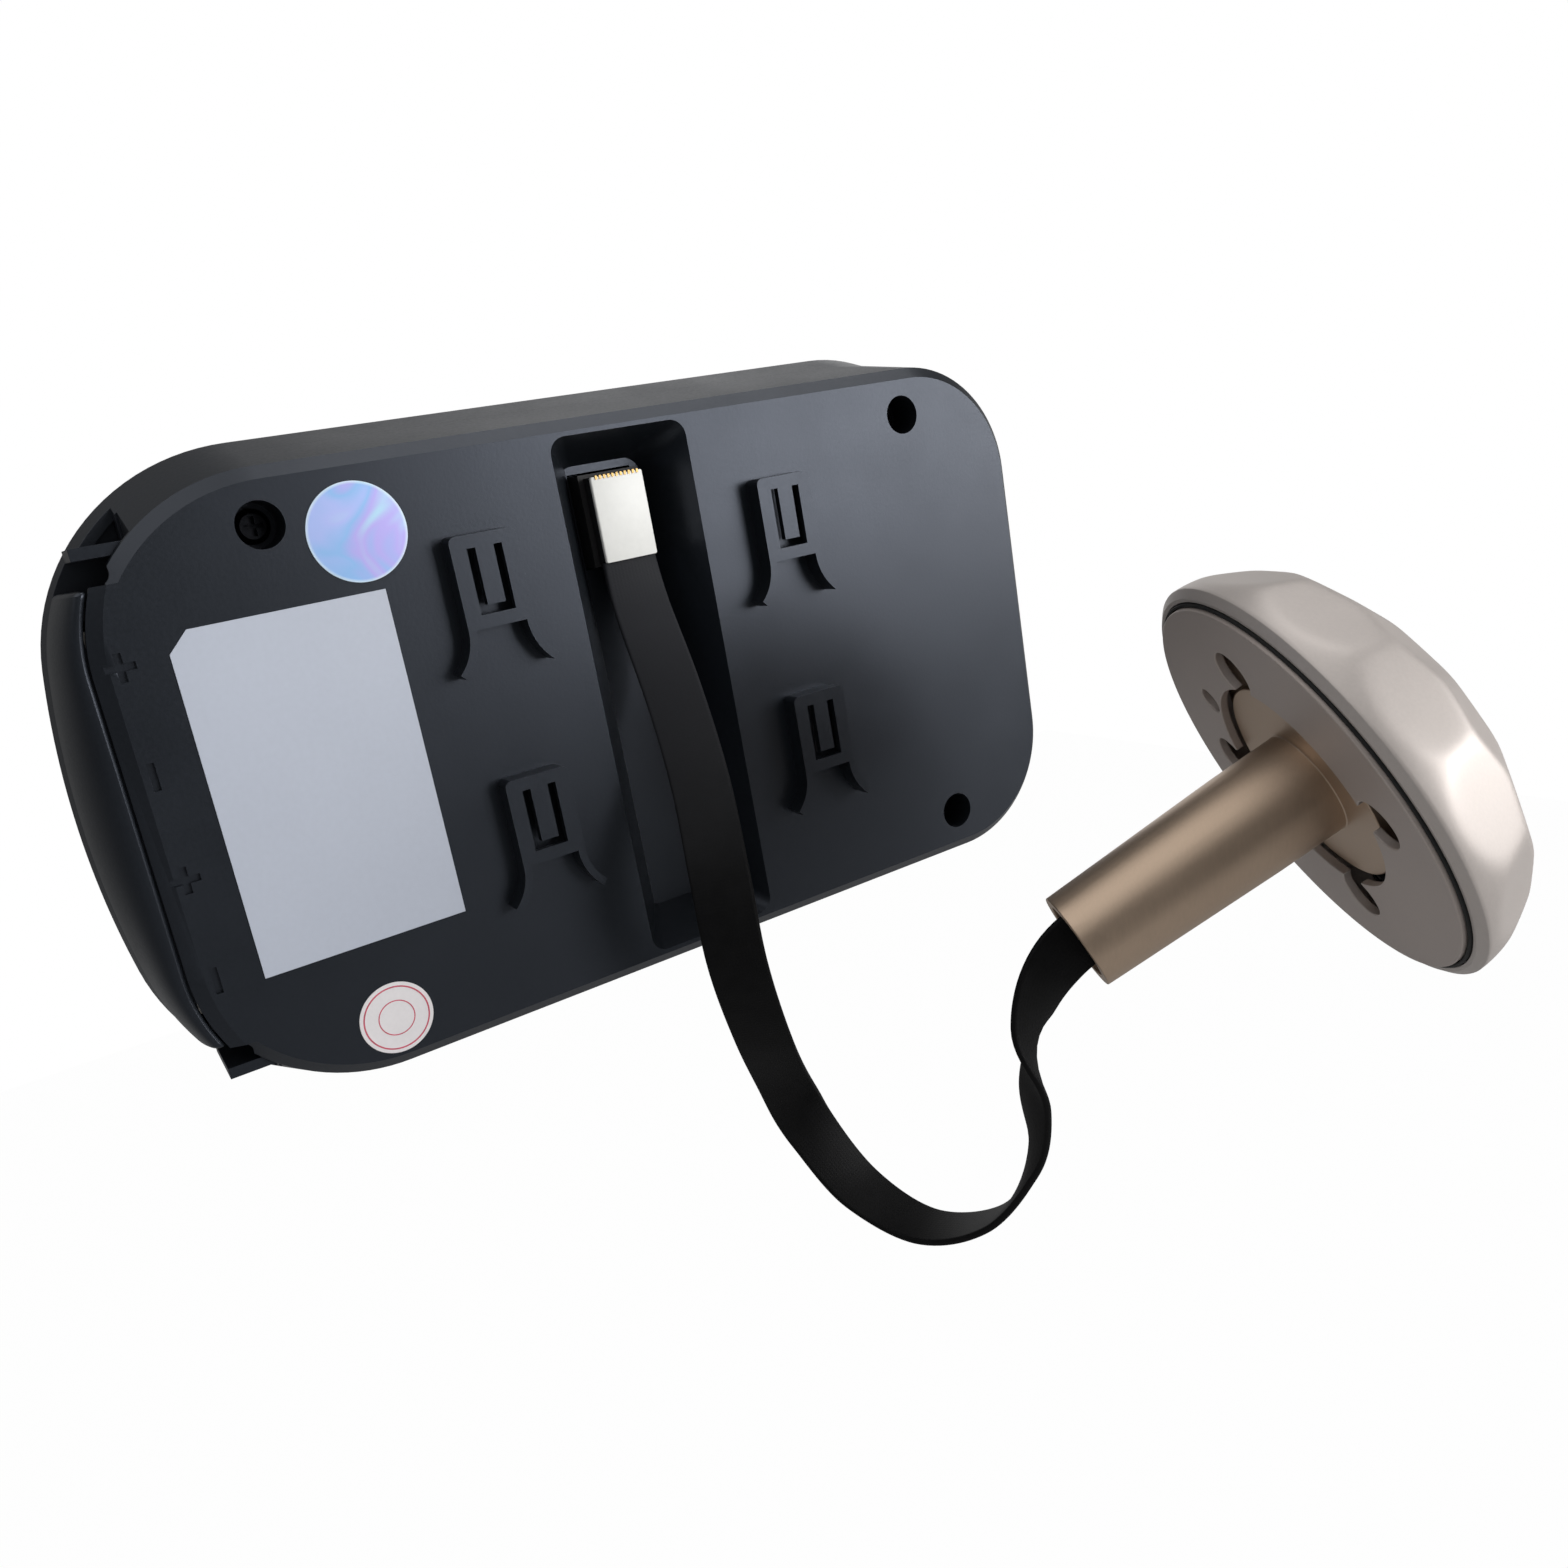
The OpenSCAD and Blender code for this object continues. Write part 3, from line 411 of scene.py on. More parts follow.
def acetate_tape():
    # Black acetate cloth tape round the flat conductors: a fine plain weave, matt, with a painted sheen below
    # the plug.
    # The real threads are about 0.2 mm apart; they are drawn at 0.5 mm so that they show.
    made, tree, shader, at = blank("acetate_tape")
    spread = put(tree, "ShaderNodeTexCoord").outputs["UV"]
    threads = {"Vector": spread, "Scale": WAVE_PERIOD * per(0.5)}
    warp, weft = [
        put(tree, "ShaderNodeTexWave", threads, wave_type="BANDS", bands_direction=way).outputs["Fac"]
        for way in ("X", "Y")
    ]
    weave = bumped(tree, sums(tree, "MULTIPLY", warp, weft), 0.02, 0.6)
    jacket = colours().ribbon
    tone = ramp(tree, noise(tree, at, 2.5, 4.0), ((0.35, tint(jacket, 0.85)), (0.75, tint(jacket, 1.5))))
    # Painted sheen, lighter where the cable leaves the plug and faces up to the light: strongest on the first
    # 10 mm of the cable and gone by 48 mm
    along = put(tree, "ShaderNodeSeparateXYZ", {"Vector": spread}).outputs["X"]
    painted_sheen = ranged(tree, along, (10 * MM, 48 * MM), (0.85, 0.0))
    sheened = put(tree, "ShaderNodeMixRGB", {"Fac": painted_sheen, "Color1": tone, "Color2": linear("#2c2d31")})
    feed(tree, shader, {"Base Color": sheened.outputs["Color"], "Normal": weave})
    feed(tree, shader, {"Roughness": 0.6, "Specular IOR Level": 0.15})
    return made


MATERIAL_NAMES = {}


def shared(make):
    """The material that a function makes, made once."""
    if MATERIAL_NAMES.get(make, "") not in bpy.data.materials:
        MATERIAL_NAMES[make] = make().name
    return bpy.data.materials[MATERIAL_NAMES[make]]


def dress(make, *nodes):
    """Give CAD nodes that stay a finished material."""
    for name in nodes:
        for place in NODES[name].material_slots:
            place.material = shared(make)


def placed(name, data):
    """New object in the scene."""
    made = bpy.data.objects.new(name, data)
    bpy.context.scene.collection.objects.link(made)
    return made


def piece(name, mesh, slot, *materials, body="monitor"):
    """Finished piece from a mesh that already lies in its place."""
    made = placed(name, mesh)
    for make in materials:
        mesh.materials.append(shared(make))
    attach(made, body)
    return made


def smooth(mesh, angle=32):
    """Shade smooth, with edges above the angle kept sharp."""
    mesh.polygons.foreach_set("use_smooth", [True] * len(mesh.polygons))
    mesh.set_sharp_from_angle(angle=math.radians(angle))
    return mesh


def from_bmesh(bm, name, angle=32):
    """Mesh from a bmesh with its faces turned outwards."""
    bmesh.ops.recalc_face_normals(bm, faces=bm.faces)
    mesh = bpy.data.meshes.new(name)
    bm.to_mesh(mesh)
    bm.free()
    return smooth(mesh, angle)


def merged_copy(node):
    """Copy of a CAD node's mesh, joined along its edges and with flat faces made whole."""
    bm = bmesh.new()
    bm.from_mesh(NODES[node].data)
    bmesh.ops.remove_doubles(bm, verts=bm.verts, dist=MERGE)
    bmesh.ops.dissolve_limit(bm, angle_limit=math.radians(0.3), verts=bm.verts, edges=bm.edges)
    mesh = bpy.data.meshes.new(node)
    bm.to_mesh(mesh)
    bm.free()
    return mesh


def cut_away(mesh, *tools):
    """The mesh after cutting other meshes out of it."""
    work = placed("cut_work", mesh)
    helpers = [placed("cut_tool", tool) for tool in tools]
    for helper in helpers:
        cut = work.modifiers.new("cut", "BOOLEAN")
        cut.operation, cut.solver, cut.object = "DIFFERENCE", "EXACT", helper
    result = evaluated(work)
    for used in helpers + [work]:
        bpy.data.objects.remove(used)
    return result


def evaluated(obj):
    """Plain mesh of an object with its modifiers applied."""
    graph = bpy.context.evaluated_depsgraph_get()
    return bpy.data.meshes.new_from_object(obj.evaluated_get(graph), depsgraph=graph)


def rounded(obj, width, segments=2, angle=28):
    """Round the sharp edges of a piece and weigh its shading towards its large faces."""
    bevel = obj.modifiers.new("edges", "BEVEL")
    bevel.width, bevel.segments = width, segments
    bevel.limit_method, bevel.angle_limit = "ANGLE", math.radians(angle)
    bevel.use_clamp_overlap = True
    weigh = obj.modifiers.new("shading", "WEIGHTED_NORMAL")
    weigh.keep_sharp = True


def refined(node, name, slot, make, width, angle=28, body="monitor"):
    """Copy of a CAD node with rounded edges, shown in its place."""
    made = piece(name, smooth(merged_copy(node), FOLD), slot, make, body=body)
    rounded(made, width, angle=angle)
    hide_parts(node)


def box_mesh(low, high):
    """Box between two corners in millimetres."""
    bm = bmesh.new()
    bmesh.ops.create_cube(bm, size=1.0)
    for v in bm.verts:
        v.co = Vector(high[i] if v.co[i] > 0 else low[i] for i in range(3)) * MM
    return from_bmesh(bm, "box")


def prism(points, y0, y1, name):
    """Plate with an outline in X and Z, in millimetres, between two depths."""
    rings = [[Vector((x, y, z)) * MM for x, z in points] for y in (y0, y1)]
    return from_bmesh(loft(rings, closed=False), name)


def circle(x, z, r, n=96):
    """Points of a circle in X and Z."""
    return [(x + r * math.cos(math.tau * i / n), z + r * math.sin(math.tau * i / n)) for i in range(n)]


def loft(rings, closed=True):
    """Faces between rings of points, each ring closed and of the same count."""
    bm = bmesh.new()
    made = [[bm.verts.new(p) for p in ring] for ring in rings]
    count = len(rings[0])
    pairs = list(zip(made, made[1:])) + ([(made[-1], made[0])] if closed else [])
    for a, b in pairs:
        for i in range(count):
            j = (i + 1) % count
            bm.faces.new((a[i], a[j], b[j], b[i]))
    if not closed:
        bm.faces.new(made[0])
        bm.faces.new(made[-1])
    return bm


def on_head(r, turn, z):
    """Point about the head's axis, from a radius, an angle and a height in millimetres."""
    return HEAD @ (Vector((r * math.cos(turn), r * math.sin(turn), z)) * MM)


def turned(profile, n):
    """Rings of points round the head's axis, from radius and height in millimetres."""
    return [[on_head(r, math.tau * i / n, z) for i in range(n)] for r, z in profile]


def nodes_input(tree, name, kind, value=None):
    """Named input of a node tree, with its default."""
    made = tree.interface.new_socket(name=name, in_out="INPUT", socket_type=kind)
    if value is not None:
        made.default_value = value
    return made.identifier


def grown(tree, points, values, name):
    """Plain mesh that a node tree grows on loose points, in metres."""
    mesh = bpy.data.meshes.new("points")
    mesh.from_pydata([tuple(p) for p in points], [], [])
    work = placed(name, mesh)
    made = work.modifiers.new("grow", "NODES")
    made.node_group = tree
    for identifier, value in values.items():
        made[identifier] = value
    mesh = evaluated(work)
    work.modifiers.remove(made)
    bpy.data.objects.remove(work)
    mesh.name = name
    return smooth(mesh)


def lifted(tree, geometry, height):
    """Geometry moved along Z."""
    way = put(tree, "ShaderNodeCombineXYZ", {"Z": height}).outputs["Vector"]
    return put(tree, "GeometryNodeTransform", {"Geometry": geometry, "Translation": way}).outputs["Geometry"]


def cone(tree, count, top, bottom, depth):
    """Cone that stands on the origin."""
    sides = {"Vertices": count, "Radius Top": top, "Radius Bottom": bottom, "Depth": depth}
    return put(tree, "GeometryNodeMeshCone", sides).outputs["Mesh"]


def planted(tree, given, output, inputs):
    """End of a node tree: an instance on each point, made real and given its metal."""
    tree.interface.new_socket(name=output, in_out="OUTPUT", socket_type="NodeSocketGeometry")
    copies = put(tree, "GeometryNodeInstanceOnPoints", {"Points": given["Points"], **inputs})
    real = put(tree, "GeometryNodeRealizeInstances", {"Geometry": copies.outputs["Instances"]})
    plated = {"Geometry": real.outputs["Geometry"], "Material": given["Metal"]}
    put(tree, "NodeGroupOutput", {output: put(tree, "GeometryNodeSetMaterial", plated).outputs["Geometry"]})


def screw_tree():
    """Node tree of a cross-head screw on each point, its head facing a given way."""
    tree = bpy.data.node_groups.new("cross_head_screws", "GeometryNodeTree")
    nodes_input(tree, "Points", "NodeSocketGeometry")
    keys = {}
    for key, name, usual in (
        ("head", "Head Radius", 2.1),
        ("height", "Head Height", 1.4),
        ("slot", "Cross Width", 0.5),
        ("shank", "Shank Radius", 1.1),
        ("long", "Shank Length", 8),
    ):
        keys[key] = nodes_input(tree, name, "NodeSocketFloat", usual * MM)
    keys["facing"] = nodes_input(tree, "Facing", "NodeSocketVector", (0.0, 0.0, 1.0))
    keys["metal"] = nodes_input(tree, "Metal", "NodeSocketMaterial")
    given = put(tree, "NodeGroupInput").outputs
    radius, height, cross = given["Head Radius"], given["Head Height"], given["Cross Width"]
    sides, taper, past = 40, 0.72, 1.1
    half = sums(tree, "MULTIPLY", height, 0.5)
    rim = cone(tree, sides, radius, radius, half)
    crown = lifted(tree, cone(tree, sides, sums(tree, "MULTIPLY", radius, taper), radius, half), half)
    head = put(tree, "GeometryNodeMeshBoolean", {"Mesh 2": [rim, crown]}, operation="UNION", solver="EXACT")
    # Two bars that cross in the middle of the head cut the drive
    span, bars = sums(tree, "MULTIPLY", radius, past), []
    for first, second in ((span, cross), (cross, span)):
        size = put(tree, "ShaderNodeCombineXYZ", {"X": first, "Y": second, "Z": height})
        bar = put(tree, "GeometryNodeMeshCube", {"Size": size.outputs["Vector"]})
        bars.append(lifted(tree, bar.outputs["Mesh"], height))
    cut = {"Mesh 1": head.outputs["Mesh"], "Mesh 2": bars}
    crossed = put(tree, "GeometryNodeMeshBoolean", cut, operation="DIFFERENCE", solver="EXACT")
    long, tip, sides = given["Shank Length"], 0.3 * MM, 24
    shank = cone(tree, sides, given["Shank Radius"], tip, long)
    shank = lifted(tree, shank, sums(tree, "MULTIPLY", long, -1.0))
    whole = put(tree, "GeometryNodeJoinGeometry", {"Geometry": [crossed.outputs["Mesh"], shank]})
    turn = put(tree, "FunctionNodeAlignRotationToVector", {"Vector": given["Facing"]}, axis="Z")
    screw = {"Instance": whole.outputs["Geometry"], "Rotation": turn.outputs["Rotation"]}
    planted(tree, given, "Screws", screw)
    return tree, keys


def pad_tree():
    """Node tree of a flat contact pad on each point."""
    tree = bpy.data.node_groups.new("contact_pads", "GeometryNodeTree")
    nodes_input(tree, "Points", "NodeSocketGeometry")
    keys = {
        "size": nodes_input(tree, "Pad Size", "NodeSocketVector", (0.4 * MM, 0.1 * MM, 0.8 * MM)),
        "metal": nodes_input(tree, "Metal", "NodeSocketMaterial"),
    }
    given = put(tree, "NodeGroupInput").outputs
    pad = put(tree, "GeometryNodeMeshCube", {"Size": given["Pad Size"]})
    planted(tree, given, "Pads", {"Instance": pad.outputs["Mesh"]})
    return tree, keys


def on_curve(k, i, t):
    """Value of the cable's curve through its points: k is 0 for the place and 1 for the width."""
    last = len(CABLE_ROUTE) - 1
    a, b, c, d = (Vector(CABLE_ROUTE[max(0, min(last, i + n))][k]) for n in (-1, 0, 1, 2))
    return 0.5 * (
        2 * b + (c - a) * t + (2 * a - 5 * b + 4 * c - d) * t**2 + (3 * b - a - 3 * c + d) * t**3
    )


def cable_frames():
    """Middle points, width directions and thickness directions along the cable."""
    spans = len(CABLE_ROUTE) - 1
    stations = [(i, k / CABLE_STEPS) for i in range(spans) for k in range(CABLE_STEPS)] + [(spans - 1, 1.0)]
    middle = [on_curve(0, i, t) * MM for i, t in stations]
    ways = [(b - a).normalized() for a, b in zip(middle, middle[2:])]
    frames = []
    for (i, t), point, along in zip(stations, middle, [Vector((0, 0, -1)), *ways, HEAD_AXIS]):
        wide = on_curve(1, i, t)
        across = (wide - wide.dot(along) * along).normalized()
        frames.append((point, across, along.cross(across)))
    return frames


def rounded_section(width, thick, radius, steps=4):
    """Points of a rectangle with rounded corners about the origin."""
    points = []
    for n, (sx, sy) in enumerate(((1, 1), (-1, 1), (-1, -1), (1, -1))):
        for k in range(steps + 1):
            a = math.radians(90 * n + 90 * k / steps)
            x = sx * (width / 2 - radius) + radius * math.cos(a)
            y = sy * (thick / 2 - radius) + radius * math.sin(a)
            points.append((x, y))
    return points


class PEEPHOLE_OT_camera(Operator):
    """Set the camera at the photograph's viewing angle"""

    bl_idname = "peephole.camera"
    bl_label = "Camera"

    # Focal length and width of the view in pixels, the place in millimetres, and the ways ahead and up
    focal, pixels, sensor = 1275.806, 1568, 36.0
    place = (-75.778, -159.397, 30.420)
    forward, upward = (0.4813, 0.8387, -0.2547), (0.2748, 0.1316, 0.9524)

    def execute(self, context):
        data = bpy.data.cameras.new("view")
        data.sensor_width = self.sensor
        data.lens = self.sensor * self.focal / self.pixels
        data.clip_start, data.clip_end = 0.005, 20.0
        camera = placed("view", data)
        ahead, over = Vector(self.forward).normalized(), Vector(self.upward)
        over = (over - over.dot(ahead) * ahead).normalized()
        turn = Matrix((ahead.cross(over), over, -ahead)).transposed().to_4x4()
        camera.matrix_world = Matrix.Translation(Vector(self.place) * MM) @ turn
        context.scene.camera = camera
        return {"FINISHED"}


class PEEPHOLE_OT_ribbon(Operator):
    """Make the flat cable between the case and the head"""

    bl_idname = "peephole.ribbon"
    bl_label = "Flat cable"

    def execute(self, context):
        size = sizes()
        corner = 0.42 * MM
        section = rounded_section(size.ribbon_width, size.ribbon_thick, corner)
        frames = cable_frames()
        bm = loft([[p + x * wide + y * up for x, y in section] for p, wide, up in frames], closed=False)
        far = [0.0]
        for (a, _, _), (b, _, _) in zip(frames, frames[1:]):
            far.append(far[-1] + (b - a).length)
        around = [0.0]
        for a, b in zip(section, section[1:] + section[:1]):
            around.append(around[-1] + math.dist(a, b))
        bm.verts.index_update()
        layer = bm.loops.layers.uv.new("UVMap")
        count = len(section)
        for face in bm.faces:
            columns = [loop.vert.index % count for loop in face.loops]
            wraps = len(face.verts) == 4 and 0 in columns and count - 1 in columns
            for loop, column in zip(face.loops, columns):
                end = count if wraps and column == 0 else column
                loop[layer].uv = (far[loop.vert.index // count], around[end])
        made = piece("flat_cable", from_bmesh(bm, "flat_cable"), "cable_jacket", acetate_tape)
        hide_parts("ribbon_cable")
        return {"FINISHED"}


class PEEPHOLE_OT_plug(Operator):
    """Make the cable's plug with its row of contacts"""

    bl_idname = "peephole.plug"
    bl_label = "Plug"

    # Face, corners and contacts in millimetres; the ends as a share of the height and a growth outwards
    skin, slimmer, corner = 0.7, 0.12, 0.2
    ends = ((0.0, -0.15), (0.012, 0.0), (0.985, 0.0), (1.0, -0.12))
    pads, pitch, pad, pad_y, pad_z = 11, 0.62, (0.3, 0.5, 0.5), 0.12, 0.1

    def execute(self, context):
        low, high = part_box("cable_plug")
        middle_x = (low[0] + high[0]) / 2
        wide, tall = high[0] - low[0], high[2] - low[2]
        seam = low[1] + self.skin * MM
        # The white face is thin and the body behind it black: partly the connector's own body, partly painted
        # shade at the plug's sides.
        for name, front, back, slim, make in (
            ("plug_face", low[1], seam, 0.0, white_nylon),
            ("plug_body", seam, high[1], self.slimmer, black_nylon),
        ):
            rings = []
            for place, grow in self.ends:
                inset = 2 * (grow - slim) * MM
                thick = back - front + min(inset, 0.0) / 4
                section = rounded_section(wide + inset, thick, self.corner * MM, 3)
                z = low[2] + place * tall
                rings.append([Vector((middle_x + x, (front + back) / 2 + y, z)) for x, y in section])
            mesh = from_bmesh(loft(rings, closed=False), name)
            made = piece(name, mesh, "connector_plastic", make)
        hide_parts("cable_plug")
        tree, keys = pad_tree()
        y, z = low[1] + self.pad_y * MM, high[2] - self.pad_z * MM
        points = [
            Vector((middle_x + (i - self.pads // 2) * self.pitch * MM, y, z)) for i in range(self.pads)
        ]
        values = {keys["size"]: tuple(v * MM for v in self.pad), keys["metal"]: shared(gold_plate)}
        mesh = grown(tree, points, values, "plug_pads")
        piece("plug_pads", mesh, "contact_steel")
        return {"FINISHED"}


class PEEPHOLE_OT_case(Operator):
    """Make the rear cover with its polarity signs, and the front housing"""

    bl_idname = "peephole.case"
    bl_label = "Case"

    # Place of the polarity signs in X, and in Z with whether each is a plus, in millimetres
    sign_x = -65.4
    signs = ((18.9, True), (6.2, False), (-6.4, True), (-19.1, False))

    def execute(self, context):
        size = sizes()
        span, stroke, depth = size.sign_span / MM, size.sign_stroke / MM, size.sign_depth / MM
        tools = []
        for z, plus in self.signs:
            for w, h in [(stroke, span)] + ([(span, stroke)] if plus else []):
                low = (self.sign_x - w / 2, -1, z - h / 2)
                tools.append(box_mesh(low, (self.sign_x + w / 2, depth, z + h / 2)))
        mesh = cut_away(merged_copy("rear_cover"), *tools)
        cover = piece("back_shell", smooth(mesh, FOLD), "case_plastic", moulded_abs)
        rounded(cover, size.case_edge)
        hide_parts("rear_cover")
        refined("front_housing", "front_shell", "case_plastic", moulded_abs, size.case_edge)
        self.channel_side()
        return {"FINISHED"}

    def channel_side(self):
        """Flatter slope on the left side of the cable channel, from rim to floor; in millimetres."""
        half, draft, depth, clear = 36.0, 3.8, 8.6, 0.2
        rim_x, foot_x, floor_x = -9.9, -6.1, -4.95
        ends = []
        for way in (-1, 1):
            z = way * (half - draft)
            rim = (rim_x, clear, way * (half - clear))
            ends.append([Vector(p) * MM for p in (rim, (foot_x, depth + 0.1, z), (floor_x, depth - 0.02, z))])
        mesh = from_bmesh(loft(ends, closed=False), "channel_side")
        piece("channel_side", mesh, "case_plastic", moulded_abs)


class PEEPHOLE_OT_door(Operator):
    """Make the sliding battery door's crown and tray, and its contacts"""

    bl_idname = "peephole.door"
    bl_label = "Battery door"

    # Edge beside the plate, whose ends bend away, and the case outline, in millimetres
    edge_x, straight, bend_r, crest = -68.5, 18.0, 22.0, 0.7
    bulge_x, bulge_r, corner_x, corner_z, corner_r = 45.9, 120.0, -45.88, 15.0, 27.0
    # Gap to the case outline; the tray's play behind the edge, its upper side and its half length
    gap, play, tray_y, tray_half = 0.5, 0.25, 2.25, 26.2

    def case_x(self, z, inset):
        """Left outline of the case at a height, drawn in by an inset."""
        lean = (self.bulge_r - inset) * self.corner_z / (self.bulge_r - self.corner_r)
        if abs(z) < lean:
            return self.bulge_x - math.sqrt((self.bulge_r - inset) ** 2 - z * z)
        return self.corner_x - math.sqrt((self.corner_r - inset) ** 2 - (abs(z) - self.corner_z) ** 2)

    def execute(self, context):
        low, high = (Vector(v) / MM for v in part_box("battery_door"))
        top, foot, half = low.y, high.y, high.z
        rows, steps = 72, 14
        rings = []
        for row in range(rows + 1):
            z = half * (2 * row / rows - 1)
            edge = self.edge_x + max(0.0, abs(z) - self.straight) ** 2 / (2 * self.bend_r)
            skirt = self.case_x(z, self.gap)
            reach = edge - self.crest - skirt
            section = [(edge, foot), (edge, top)]
            for a in (math.pi / 2 * k / steps for k in range(steps + 1)):
                section.append((skirt + reach * (1 - math.sin(a)), top + (foot - top) * (1 - math.cos(a))))
            rings.append([Vector((x, y, z)) * MM for x, y in section])
        mesh = from_bmesh(loft(rings, closed=False), "sliding_door", FOLD)
        crown = piece("sliding_door", mesh, "case_plastic", moulded_abs, body="door")
        rounded(crown, sizes().case_edge, angle=FOLD)
        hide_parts("battery_door")
        far = 90
        mesh = cut_away(
            merged_copy("battery_door"),
            box_mesh((-far, -far, -far), (self.edge_x - self.play, far, far)),
            box_mesh((-far, -far, -far), (far, self.tray_y, far)),
            box_mesh((-far, -far, self.tray_half), (far, far, far)),
            box_mesh((-far, -far, -far), (far, far, -self.tray_half)),
        )
        tray = piece("door_tray", smooth(mesh, FOLD), "case_plastic", moulded_abs, body="door")
        rounded(tray, sizes().small_edge, angle=FOLD)
        dress(contact_nickel, "door_contacts")
        return {"FINISHED"}


class PEEPHOLE_OT_stickers(Operator):
    """Make the blank label, the foil disc and the paper seal on the back"""

    bl_idname = "peephole.stickers"
    bl_label = "Stickers"

    # Sides of the label and middle of the seal in millimetres; the seal's rings as shares of its radius
    label_sides = (-60.2, -34.8, -20.8, 21.6)
    seal_at = (-46.6, -31.4)
    inked = ((0.9, 0.86), (0.5, 0.47))
    # How far a sticker sinks into the case, the rounding of its edge and the ink's height, in millimetres
    sunk, film_edge, ink = 0.02, 0.03, 0.02

    def execute(self, context):
        size = sizes()
        out, cut, r = -size.sticker / MM, size.label_cut / MM, size.seal_radius / MM
        left, right, foot, top = self.label_sides
        label = [(left, foot), (right, foot), (right, top), (left + cut, top), (left, top - cut)]
        for name, outline, make in (
            ("blank_label", label, label_polyester),
            ("foil_disc", circle(*FOIL_AT, size.foil_radius / MM), diffraction_foil),
            ("paper_seal", circle(*self.seal_at, r), seal_paper),
        ):
            made = piece(name, prism(outline, out, self.sunk, name), "case_plastic", make)
            rounded(made, self.film_edge * MM, 1)
        for n, shares in enumerate(self.inked):
            name = f"seal_ring_{n + 1}"
            outer, inner = [circle(*self.seal_at, r * share) for share in shares]
            over = out - self.ink
            rings = [
                [Vector((x, y, z)) * MM for x, z in ring]
                for ring, y in ((outer, out), (outer, over), (inner, over), (inner, out))
            ]
            piece(name, from_bmesh(loft(rings), name), "case_plastic", seal_ink)
        return {"FINISHED"}


class PEEPHOLE_OT_screws(Operator):
    """Make the case screws and the head screws"""

    bl_idname = "peephole.screws"
    bl_label = "Screws"

    # Head radius, head height, cross width, shank radius and, for the head, shank length, in millimetres
    case_sizes, head_sizes = (2.1, 1.4, 0.55, 1.1), (1.8, 1.3, 0.5, 0.9, 4.3)
    # Foot of the case screws' heads, and radius and height of the head screws' places
    base, ring, ear = 6.0, 17.2, 4.2

    def grow(self, tree, keys, name, places, measures, facing):
        """Set of screws of one size, with their heads facing one way."""
        kinds = ("head", "height", "slot", "shank", "long")
        values = {keys[kind]: measure * MM for kind, measure in zip(kinds, measures)}
        values.update({keys["facing"]: facing, keys["metal"]: shared(screw_steel)})
        return piece(name, grown(tree, places, values, name), "screw_steel")

    def execute(self, context):
        tree, keys = screw_tree()
        low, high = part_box("case_screws")
        head, base = self.case_sizes[0] * MM, self.base * MM
        columns, rows = (low[0] + head, high[0] - head), (low[2] + head, high[2] - head)
        places = [Vector((x, base, z)) for x in columns for z in rows]
        measures = self.case_sizes + ((high[1] - base) / MM,)
        made = self.grow(tree, keys, "case_screw_set", places, measures, (0.0, -1.0, 0.0))
        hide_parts("case_screws")
        places = [on_head(self.ring, i * math.pi / 2, self.ear) for i in range(4)]
        made = self.grow(tree, keys, "head_screw_set", places, self.head_sizes, tuple(-HEAD_AXIS))
        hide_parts("head_screws")
        return {"FINISHED"}


class PEEPHOLE_OT_screen(Operator):
    """Finish the screen's window and display"""

    bl_idname = "peephole.screen"
    bl_label = "Screen"

    def execute(self, context):
        refined("screen_window", "screen_pane", "window_glass", tinted_acrylic, sizes().small_edge)
        dress(display_film, "lcd_panel")
        return {"FINISHED"}


class PEEPHOLE_OT_buttons(Operator):
    """Make the view key and the bell button"""

    bl_idname = "peephole.buttons"
    bl_label = "Buttons"

    def execute(self, context):
        refined("view_key", "view_key_cap", "key_plastic", key_abs, 0.5 * MM, body="key")
        refined("bell_button", "bell_cap", "button_metal", button_metal, 0.3 * MM, body="bell")
        return {"FINISHED"}


